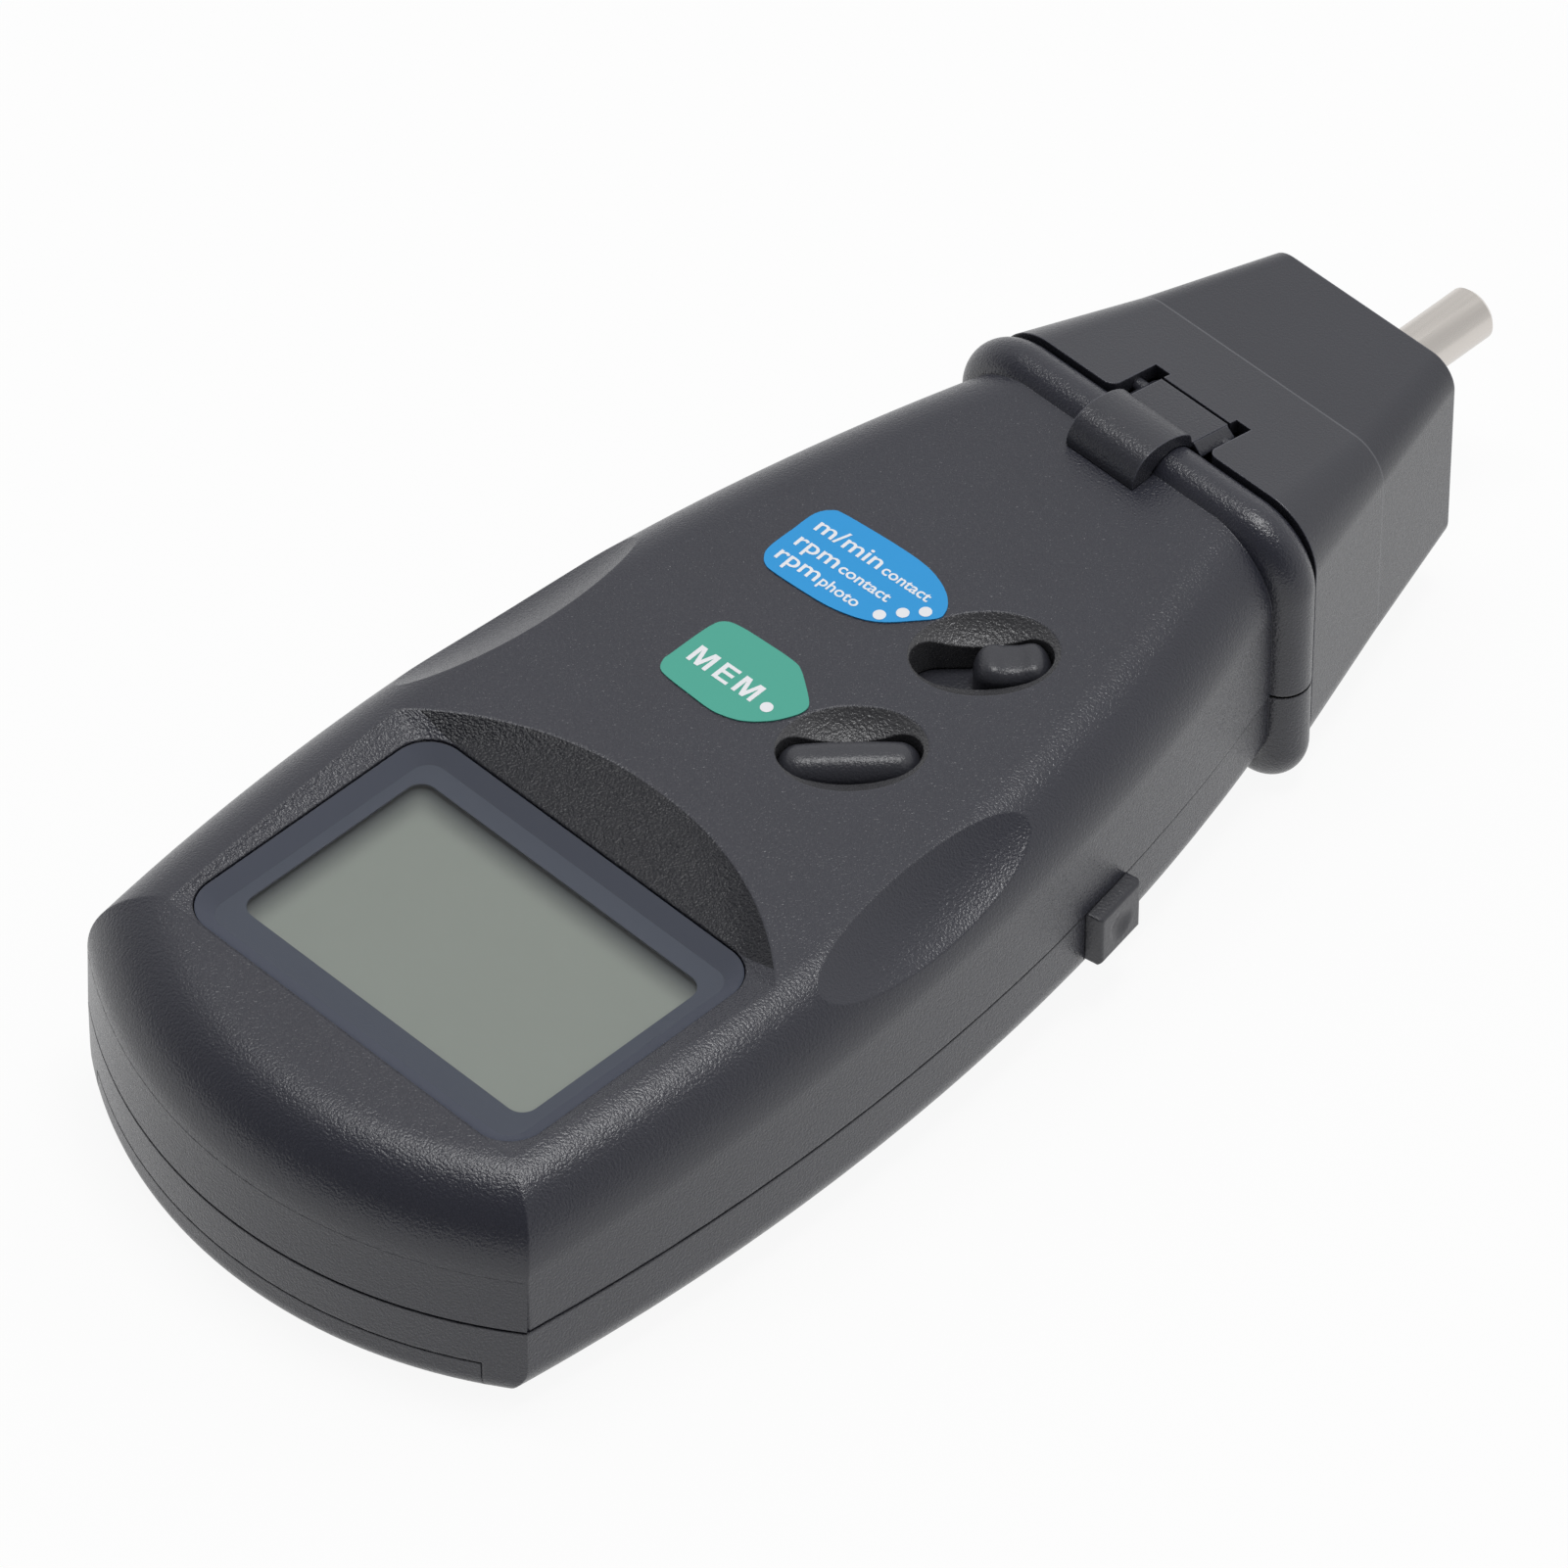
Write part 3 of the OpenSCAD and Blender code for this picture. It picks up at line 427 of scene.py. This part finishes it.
def panel_painted_shade(tree, place):
    """The painted shade on the panel's far and left edges; neither coarse nor dull anywhere."""
    split = tree.nodes.new("ShaderNodeSeparateXYZ")
    tree.links.new(place, split.inputs["Vector"])
    inward = calc(tree, "SMOOTH_MIN", calc(tree, "SUBTRACT", split.outputs["X"], PANEL_LEFT * mm),
                  calc(tree, "SUBTRACT", PANEL_FAR * mm, split.outputs["Y"]), 2 * mm)
    fade = tree.nodes.new("ShaderNodeMapRange")
    fade.interpolation_type = "SMOOTHSTEP"
    fade.inputs["From Max"].default_value = SHADE_W * mm
    fade.inputs["To Min"].default_value = 1
    fade.inputs["To Max"].default_value = 0
    tree.links.new(inward, fade.inputs["Value"])
    return [(fade.outputs["Result"], (0.045, 0.047, 0.05))], None, None


panel_glass = moulded_skin("panel_glass", (0.29, 0.3, 0.26), grain=1.5, depth=0.0005, rough=0.4, edge=0,
                           flow=0.02, span=0.02, zone=panel_painted_shade)
dress("lcd_panel", panel_glass)

# Label films. Die-cut plastic films stuck on the sloping top, blue beside the mode switch and green beside
# the memory button, each with one smooth outline.
PRINTED = {"rough": 0.5, "edge": 0, "flow": 0.03}
label_blue = moulded_skin("label_blue", (0.02, 0.32, 0.72), grain=0.25, depth=0.003, index=1.4, **PRINTED)
label_green = moulded_skin("label_green", (0.072, 0.4, 0.305), grain=0.25, depth=0.003, index=1.4, **PRINTED)
FILM_T, FILM_SINK = 0.15, 0.02


def smooth_loop(points, steps, sharp=()):
    """A closed curve through the points, with corners only at the sharp ones."""
    count = len(points)
    loop = []
    for k, here in enumerate(points):
        after = points[(k + 1) % count]
        before = here if k in sharp else points[k - 1]
        beyond = after if (k + 1) % count in sharp else points[(k + 2) % count]
        for s in range(steps):
            t = s / steps
            loop.append([0.5 * (2 * b + (c - a) * t + (2 * a - 5 * b + 4 * c - d) * t * t
                                + (3 * b - a - 3 * c + d) * t ** 3)
                         for a, b, c, d in zip(before, here, after, beyond)])
    return loop


def film(name, node, outline, material, finish):
    """A label with a smooth outline, laid on the case top."""
    edge = smooth_loop(outline, 6)
    shape = loft([(x, y, top_height(y) - FILM_SINK) for x, y in edge],
                 [(x, y, top_height(y) + FILM_T) for x, y in edge])
    show(name, finished(name, shape), material, "case", finish, node)


film("mode_film", "mode_label", [
    (-16.4, 0.05), (-17.1, 1.6), (-17.15, 5.2), (-17.1, 8.4), (-16.1, 10.1), (-14.6, 10.65), (-8.5, 11.2),
    (-4.1, 11.35), (-1.3, 11.0), (1.1, 10.1), (2.6, 9.0), (3.4, 7.8), (3.45, 6.6), (1.8, 4.5), (0.1, 2.55),
    (-1.5, 1.3), (-3.4, 0.45), (-6.3, -0.3), (-9.7, -0.62), (-13.3, -0.78), (-15.2, -0.7),
], label_blue, "blue_label")
film("memory_film", "memory_label", [
    (-12.7, -19.2), (-13.35, -18.1), (-13.4, -16.9), (-13.3, -11.4), (-12.6, -9.6), (-10.8, -8.95),
    (-7.5, -8.7), (-3.3, -8.58), (-1.6, -9.0), (1.0, -10.7), (2.3, -11.7), (2.8, -12.5), (2.7, -13.8),
    (1.7, -15.9), (0.4, -17.5), (-1.0, -18.65), (-2.7, -19.4), (-4.7, -19.8), (-8.1, -19.75), (-11.4, -19.6),
], label_green, "green_label")

# Label printing. White ink on the films: the switch's three units, one under the other, the memory button's
# word in block letters, and a round mark for each place of the switch and for the button.
legend_ink = moulded_skin("legend_ink", (0.84, 0.85, 0.88), grain=0.2, depth=0.002, **PRINTED)
INK_T, MARK_R = 0.03, 0.73
UNIT_H, NOTE_H, STROKE_GAIN = 3.0, 2.05, 0.03
BLOCK_H, BLOCK_X, BLOCK_Y, BLOCK_TURN = 2.6, -11.75, -16.35, 1.5


def print_on_top(name, mesh, x, y, turn=0.0):
    """Lays a flat piece of ink on a label."""
    place = Matrix.Translation((x * mm, y * mm, (top_height(y) + FILM_T) * mm))
    slope = Matrix.Rotation(TOP_RISE, 4, "X")
    mesh.transform(place @ slope @ Matrix.Rotation(math.radians(turn), 4, "Z"))
    show(name, mesh, legend_ink, "case", "white_plastic")


def legend(name, words, x, y, size, width, turn):
    """A line of lettering set to a width, turned into a thin mesh."""
    line = bpy.data.curves.new(name, "FONT")
    line.body = words
    line.size = size * mm
    line.offset = STROKE_GAIN * mm
    line.extrude = INK_T * mm
    line.resolution_u = 6
    shape = bpy.data.objects.new(name, line)
    bpy.context.collection.objects.link(shape)
    bpy.context.view_layer.update()
    mesh = bpy.data.meshes.new_from_object(shape.evaluated_get(bpy.context.evaluated_depsgraph_get()))
    bpy.data.objects.remove(shape)
    bpy.data.curves.remove(line)
    start = min(v.co.x for v in mesh.vertices)
    spread = width * mm / (max(v.co.x for v in mesh.vertices) - start)
    mesh.transform(Matrix.Diagonal((spread, 1, 1, 1)) @ Matrix.Translation((-start, 0, 0)))
    print_on_top(name, mesh, x, y, turn)


def mark(name, x, y):
    """A round mark at a switch position."""
    shape = bmesh.new()
    bmesh.ops.create_cone(shape, cap_ends=True, segments=40, radius1=MARK_R * mm, radius2=MARK_R * mm,
                          depth=2 * INK_T * mm)
    print_on_top(name, finished(name, shape), x, y)


legend("legend_speed", "m/min", -15.55, 6.7, UNIT_H, 9.2, 2.9)
legend("legend_speed_note", "contact", -5.8, 7.1, NOTE_H, 6.7, 2.4)
legend("legend_turns", "rpm", -15.55, 3.65, UNIT_H, 5.8, 3.5)
legend("legend_turns_note", "contact", -9.3, 4.05, NOTE_H, 7.1, 2.6)
legend("legend_light", "rpm", -15.7, 0.85, UNIT_H, 5.8, 3.5)
legend("legend_light_note", "photo", -9.5, 1.25, NOTE_H, 5.4, 2.6)
LETTER_M = [(0, 0), (0, 1), (0.3, 1), (0.5, 0.34), (0.7, 1), (1, 1), (1, 0), (0.81, 0), (0.81, 0.76),
            (0.59, 0), (0.41, 0), (0.19, 0.76), (0.19, 0)]
LETTER_E = [(0, 0), (0, 1), (1, 1), (1, 0.83), (0.26, 0.83), (0.26, 0.61), (0.93, 0.61), (0.93, 0.44),
            (0.26, 0.44), (0.26, 0.17), (1, 0.17), (1, 0)]
BLOCK_WORD = [(LETTER_M, 0, 2.85), (LETTER_E, 3.75, 2.15), (LETTER_M, 6.65, 2.85)]
for n, (outline, start, wide) in enumerate(BLOCK_WORD):
    letter = [(start + wide * x, BLOCK_H * y) for x, y in reversed(outline)]
    shape = loft([(x, y, -INK_T) for x, y in letter], [(x, y, INK_T) for x, y in letter])
    print_on_top(f"legend_memory_{n}", finished("letter", shape), BLOCK_X, BLOCK_Y, BLOCK_TURN)
for n, (x, y) in enumerate([(-1.4, 2.6), (0.2, 4.55), (1.85, 6.35)]):
    mark(f"mode_mark_{n}", x, y)
mark("memory_mark", -0.4, -15.4)

# Mode knob. A satin moulding of about the case colour, with a shallow saddle between two ridges for the
# finger; it stands on a thin shutter plate, which slides along under the oval well.
key_skin = moulded_skin("key_skin", (0.034, 0.035, 0.044), grain=0.3, depth=0.06, rough=0.36, span=0.05,
                        index=1.55)
WELL_TURN = math.radians(47)
RING_POINTS = 96
RIDGE, RIDGE_START, RIDGE_RUN, RIDGE_END = 0.3, 0.7, 1.4, 2.3


def bar_mesh(name, half_l, half_w, edge, base, top, crown, square=2.0):
    """A round-ended bar: rings brought in over a rounded edge, then a top shaped by crown(along, across)."""
    shape = bmesh.new()
    turns = [2 * math.pi * (k + 0.5) / RING_POINTS for k in range(RING_POINTS)]

    def bulge(value):
        return math.copysign(abs(value) ** (2 / square), value)

    depths = [(0, base), (0, top - edge)]
    depths += [(edge * (1 - math.cos(a)), top - edge + edge * math.sin(a))
               for a in [math.radians(10 * k) for k in range(1, 10)]]
    depths += [(edge + (half_w - 0.1 - edge) * k / 6, top) for k in range(1, 7)]
    rings = []
    for inset, z in depths:
        ring = []
        for a in turns:
            across = (half_w - inset) * bulge(math.sin(a))
            straight = max(-1, min(1, 3 * math.cos(a))) * (half_l - half_w)
            along = (half_w - inset) * bulge(math.cos(a)) + straight
            lift = crown(along, across) if z > base else 0
            ring.append(shape.verts.new((along * mm, across * mm, (z + lift) * mm)))
        rings.append(ring)
    for low, high in zip(rings, rings[1:]):
        band(shape, low, high)
    last = rings[-1]
    for k in range(RING_POINTS // 2 - 1):
        shape.faces.new((last[k], last[k + 1], last[-2 - k], last[-1 - k]))
    shape.faces.new(list(reversed(rings[0])))
    return finished(name, shape)


def set_key(name, mesh, place, body, *stands_for):
    """Puts a key where its CAD node is."""
    mesh.transform(place)
    show(name, mesh, key_skin, body, "key_plastic", *stands_for)


def well_place(node):
    """The frame of a key in its well: the middle of its plate, turned along the well."""
    low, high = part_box(node)
    middle = Vector(((low[0] + high[0]) / 2, (low[1] + high[1]) / 2, low[2]))
    return Matrix.Translation(middle) @ Matrix.Rotation(WELL_TURN, 4, "Z")


def knob_crown(along, across):
    """A shallow saddle between two ridges, with ends that round off."""
    rise = min(1, max(0, (abs(along) - RIDGE_START) / RIDGE_RUN))
    fall = 0.3 * max(0, abs(along) - RIDGE_END) ** 2 + 0.03 * across * across
    return RIDGE * rise * rise * (3 - 2 * rise) - fall


def box_mesh(name, low, high, edge=0.15):
    """A plate with rounded edges."""
    shape = bmesh.new()
    bmesh.ops.create_cube(shape, size=1)
    for v in shape.verts:
        v.co = Vector([(a + b) / 2 + c * (b - a) for a, b, c in zip(low, high, v.co)]) * mm
    bmesh.ops.bevel(shape, geom=shape.edges[:], offset=edge * mm, segments=3, affect="EDGES", profile=0.5)
    return finished(name, shape)


knob_place = well_place("mode_switch_knob")
thumb = bar_mesh("mode_thumb", half_l=4.25, half_w=2.8, edge=1.3, base=0.9, top=5.8, crown=knob_crown,
                 square=2.5)
set_key("mode_thumb", thumb, knob_place, "mode_knob", "mode_switch_knob")
set_key("mode_shutter", box_mesh("mode_shutter", (-10.5, -4, 0), (10.5, 4, 1)), knob_place, "mode_knob")

# Memory button. A long bar with round ends and a lightly crowned top, of the knob's plastic; the flange at
# its foot keeps it from coming out through the well.


def bar_crown(along, across):
    """A light crown, both ways."""
    return -0.004 * along ** 2 - 0.05 * across ** 2


def no_crown(along, across):
    """A flat top."""
    return 0


bar_place = well_place("memory_button")
bar = bar_mesh("memory_bar", half_l=7.7, half_w=2.85, edge=2.2, base=1.2, top=6.35, crown=bar_crown,
               square=2.3)
set_key("memory_bar", bar, bar_place, "memory_key", "memory_button")
flange = bar_mesh("memory_flange", half_l=8.8, half_w=3.8, edge=0.2, base=0, top=1.25, crown=no_crown)
set_key("memory_flange", flange, bar_place, "memory_key")

# Test button. A square cap of the same plastic with a dished finger spot, which stands out of the side wall;
# its flange lies behind the wall.
TEST_Y = 4.1
SIDE_R, SIDE_MIDDLE_Y, SIDE_INSET = 281.4, -46, 245.3
SIDE_TURN = math.asin((TEST_Y - SIDE_MIDDLE_Y) / SIDE_R)
SIDE_X = SIDE_R * math.cos(SIDE_TURN) - SIDE_INSET
CAP_STEPS = 40
HALF_T, LOW_Z, HIGH_Z, OUT, ROOT = 3.8, 8.25, 15.15, 2, -2.4
ROLL_R, DISH_Z, DISH_R, DISH_DEPTH = 0.45, 11.6, 2.1, 0.5
side_place = Matrix.Translation((SIDE_X * mm, TEST_Y * mm, 0)) @ Matrix.Rotation(SIDE_TURN, 4, "Z")
cap = bmesh.new()
grid = []
for i in range(CAP_STEPS + 1):
    row = []
    for j in range(CAP_STEPS + 1):
        across = -HALF_T + 2 * HALF_T * i / CAP_STEPS
        z = LOW_Z + (HIGH_Z - LOW_Z) * j / CAP_STEPS
        rim = min(HALF_T - abs(across), z - LOW_Z, HIGH_Z - z)
        roll = ROLL_R * max(0, 1 - rim / ROLL_R) ** 2
        ring = math.hypot(across, z - DISH_Z) / DISH_R
        dish = DISH_DEPTH * max(0, 1 - ring * ring) ** 1.5
        row.append(cap.verts.new(((OUT - roll - dish) * mm, across * mm, z * mm)))
    grid.append(row)
for i in range(CAP_STEPS):
    for j in range(CAP_STEPS):
        cap.faces.new((grid[i][j], grid[i + 1][j], grid[i + 1][j + 1], grid[i][j + 1]))
rim_loop = [grid[i][0] for i in range(CAP_STEPS)] + [grid[CAP_STEPS][j] for j in range(CAP_STEPS)]
rim_loop += [grid[i][CAP_STEPS] for i in range(CAP_STEPS, 0, -1)]
rim_loop += [grid[0][j] for j in range(CAP_STEPS, 0, -1)]
back_loop = [cap.verts.new((ROOT * mm, v.co.y, v.co.z)) for v in rim_loop]
band(cap, back_loop, rim_loop)
cap.faces.new(back_loop)
set_key("test_cap", finished("test_cap", cap), side_place, "test_key", "test_button")
flange = box_mesh("test_flange", (-3.6, -5.2, 9.5), (-2.38, 5.2, 15.15))
set_key("test_flange", flange, side_place, "test_key")

# Nose optics. A filter over the laser and the receiver's lens, both of a dark red plastic, set in the nose
# behind the collar.
filter_red = moulded_skin("filter_red", (0.05, 0.006, 0.008), grain=0.5, depth=0.001, rough=0.12, flow=0.05)
for moulding in ("nose_window", "receiver_lens"):
    dress(moulding, filter_red)

# Contact adapter. A smoother moulding than the case, seated on the collar, with a cap let into its front. A
# fine pale line is painted round it where its taper gets steeper, and its edges are painted paler: both are
# painted highlights.
ADAPTER_GREY = (0.035, 0.036, 0.046)
ADAPTER_SATIN = {"edge": 0.3, "span": 0.05, "index": 1.55, "painted_edge_light": 0.6}
CREASE_Y, CREASE_HIGHLIGHT_HALF = 59.8, 0.1


def painted_crease_highlight(tree, place):
    """A painted highlight: a paler line where the taper changes; neither coarse nor dull anywhere."""
    split = tree.nodes.new("ShaderNodeSeparateXYZ")
    tree.links.new(place, split.inputs["Vector"])
    highlight_line_mask = calc(tree, "COMPARE", split.outputs["Y"], CREASE_Y * mm, CREASE_HIGHLIGHT_HALF * mm)
    return [(highlight_line_mask, (0.1, 0.102, 0.115))], None, None


housing_skin = moulded_skin("housing_skin", ADAPTER_GREY, depth=0.04, rough=0.3, zone=painted_crease_highlight,
                            **ADAPTER_SATIN)
adapter_skin = moulded_skin("adapter_skin", ADAPTER_GREY, depth=0.07, rough=0.28, **ADAPTER_SATIN)
dress("adapter_housing", housing_skin)
for moulding in ("adapter_cap", "latch_pin"):
    dress(moulding, adapter_skin)

# Latch. A sprung tongue of the adapter's plastic in a notch of its top, hung on a pin; its hook reaches over
# the collar bead, and sloped flanks close the notch beside it.
HOOK_OUTLINE = [
    (34.8, 35.85), (34.95, 36.9), (35.7, 38.3), (36.9, 39.2), (38.5, 39.58), (40.2, 39.5), (41.8, 39.1),
    (43.0, 38.55), (43.75, 38.0), (44.0, 37.35), (44.1, 36.8), (44.4, 36.55), (45.2, 36.4), (47.4, 35.98),
    (49.7, 35.5), (49.8, 35.2), (49.75, 34.4), (49.4, 33.4), (48.5, 32.75), (47.5, 32.9), (46.9, 33.5),
    (46.5, 34.3), (45.8, 34.85), (44.8, 35.3), (43.9, 36.0), (42.7, 37.1), (41.2, 37.66), (39.8, 37.5),
    (38.4, 36.85), (37.3, 35.85)]
HALF_HOOK = 5
FLANK_IN, FLANK_TOP, FLANK_OUT = 4.8, 5.02, 6.3
FLANK_Y = (44.3, 49.6)
profile = smooth_loop(HOOK_OUTLINE, 5, sharp={0, 8, 14, 29})
tongue = loft([(-HALF_HOOK, y, z) for y, z in profile], [(HALF_HOOK, y, z) for y, z in profile])
hook = show("hook_tongue", finished("hook_tongue", tongue), adapter_skin, "latch", "adapter_plastic",
            "adapter_latch")
rounding = hook.modifiers.new("rounding", "BEVEL")
rounding.width = 0.25 * mm
rounding.segments = 3
rounding.limit_method = "ANGLE"
rounding.angle_limit = math.radians(50)
rounding.harden_normals = True
near, far = FLANK_Y
for s in (-1, 1):
    inner, upper, outer = s * FLANK_IN, s * FLANK_TOP, s * FLANK_OUT
    flank = loft([(inner, near, 36.45), (inner, far, 35.4), (inner, far, 34.4), (inner, near, 35.3)],
                 [(upper, near, 36.45), (upper, far, 35.4), (outer, far, 34.3), (outer, near, 35.2)])
    show(f"tongue_flank_{s + 1}", finished("flank", flank), adapter_skin, "latch", "adapter_plastic")

# Contact shaft. Nickel-plated steel, ground along its length, with a chamfered free end; it turns in two
# bronze sleeves inside the adapter.
shaft_nickel = worked_metal("shaft_nickel", (0.72, 0.68, 0.64), 0.28, along=0.04)
dress("contact_shaft", shaft_nickel)

# Floor. A plain pale sheet; the meter lies on its collar and on the lower edge of its display end, so the
# sheet is tilted under it.
REST_BACK, REST_NOSE = (-92.0 * mm, 4.4 * mm), (41.0 * mm, 0.0)
FLOOR_SIZE, FLOOR_GAP, WHITE_SHARE = 8, 0.1, 0.92
lean = math.atan2(REST_BACK[1] - REST_NOSE[1], REST_NOSE[0] - REST_BACK[0])
bpy.ops.mesh.primitive_plane_add(size=FLOOR_SIZE, location=(0, REST_NOSE[0], -FLOOR_GAP * mm),
                                 rotation=(-lean, 0, 0))
floor = bpy.context.object
floor.name = "floor"
floor_pale = bpy.data.materials.new("floor_pale")
floor_pale.use_nodes = True
tree = floor_pale.node_tree
paper = tree.nodes["Principled BSDF"]
paper.inputs["Base Color"].default_value = (0.85, 0.85, 0.85, 1)
paper.inputs["Roughness"].default_value = 0.9
paper.inputs["Specular IOR Level"].default_value = 0.1
white = tree.nodes.new("ShaderNodeEmission")
rays = tree.nodes.new("ShaderNodeLightPath").outputs
seen = calc(tree, "MAXIMUM", rays["Is Camera Ray"], rays["Is Glossy Ray"])
seen = calc(tree, "MAXIMUM", seen, rays["Is Transmission Ray"])
sheet = tree.nodes.new("ShaderNodeMixShader")
tree.links.new(calc(tree, "MULTIPLY", seen, WHITE_SHARE), sheet.inputs["Fac"])
tree.links.new(paper.outputs["BSDF"], sheet.inputs[1])
tree.links.new(white.outputs["Emission"], sheet.inputs[2])
tree.links.new(sheet.outputs["Shader"], tree.nodes["Material Output"].inputs["Surface"])
floor.data.materials.append(floor_pale)

# Studio light. A pale room that is dim in front of the display end, and two round soft boxes overhead, which
# draw the bright lines along the rounded edges.
DIM_SIDE = (0.25, -0.8, 0.545)
PALE, DIM = 0.78, 0.12
LAMP_REACH = 1.2
world = bpy.data.worlds.new("studio")
bpy.context.scene.world = world
world.use_nodes = True
tree = world.node_tree
toward = tree.nodes.new("ShaderNodeVectorMath")
toward.operation = "DOT_PRODUCT"
toward.inputs[1].default_value = DIM_SIDE
room = tree.nodes.new("ShaderNodeTexCoord")
tree.links.new(room.outputs["Generated"], toward.inputs[0])
dimming = tree.nodes.new("ShaderNodeMapRange")
dimming.inputs["From Min"].default_value = -0.1
dimming.inputs["From Max"].default_value = 0.75
dimming.inputs["To Min"].default_value = PALE
dimming.inputs["To Max"].default_value = DIM
tree.links.new(toward.outputs["Value"], dimming.inputs["Value"])
tree.links.new(dimming.outputs["Result"], tree.nodes["Background"].inputs["Strength"])
tree.nodes["Background"].inputs["Color"].default_value = (1, 1, 1, 1)
for name, size, watts, side in (
    ("soft_box", 0.45, 5.5, (0.06, 0.115, 0.99)),
    ("edge_box", 0.3, 2, (-0.25, -0.04, 0.967)),
):
    lamp = bpy.data.lights.new(name, "AREA")
    lamp.shape = "DISK"
    lamp.size = size
    lamp.energy = watts
    light = bpy.data.objects.new(name, lamp)
    light.location = Vector(side) * LAMP_REACH
    light.rotation_euler = (-light.location).to_track_quat("-Z", "Y").to_euler()
    bpy.context.collection.objects.link(light)

# Camera. It stands at the photograph's angle, well back with a long lens, and is shifted to bring the meter
# to its place in the frame.
TURN, RISE, ROLL = math.radians(45.141), math.radians(45.85), math.radians(0.098)
AIM, DISTANCE = Vector((0, -14.1 * mm, 19.4 * mm)), 1.5239
FRAME_PX, FOCAL_PX = 1601, 14500
SHIFT_X_PX, SHIFT_Y_PX = 6.36, 17.33
away = Vector((math.sin(TURN) * math.cos(RISE), -math.cos(TURN) * math.cos(RISE), math.sin(RISE)))
right = Vector((math.cos(TURN), math.sin(TURN), 0))
up = away.cross(right)
right_rolled = right * math.cos(ROLL) + up * math.sin(ROLL)
up_rolled = up * math.cos(ROLL) - right * math.sin(ROLL)
lens = bpy.data.cameras.new("camera")
lens.sensor_width = 36
lens.lens = FOCAL_PX / FRAME_PX * lens.sensor_width
lens.shift_x = SHIFT_X_PX / FRAME_PX
lens.shift_y = SHIFT_Y_PX / FRAME_PX
lens.clip_end = 20
camera = bpy.data.objects.new("camera", lens)
facing = Matrix((right_rolled, up_rolled, away)).transposed().to_4x4()
camera.matrix_world = Matrix.Translation(AIM + away * DISTANCE) @ facing
bpy.context.collection.objects.link(camera)
bpy.context.scene.camera = camera
bpy.context.scene.view_settings.view_transform = "Standard"
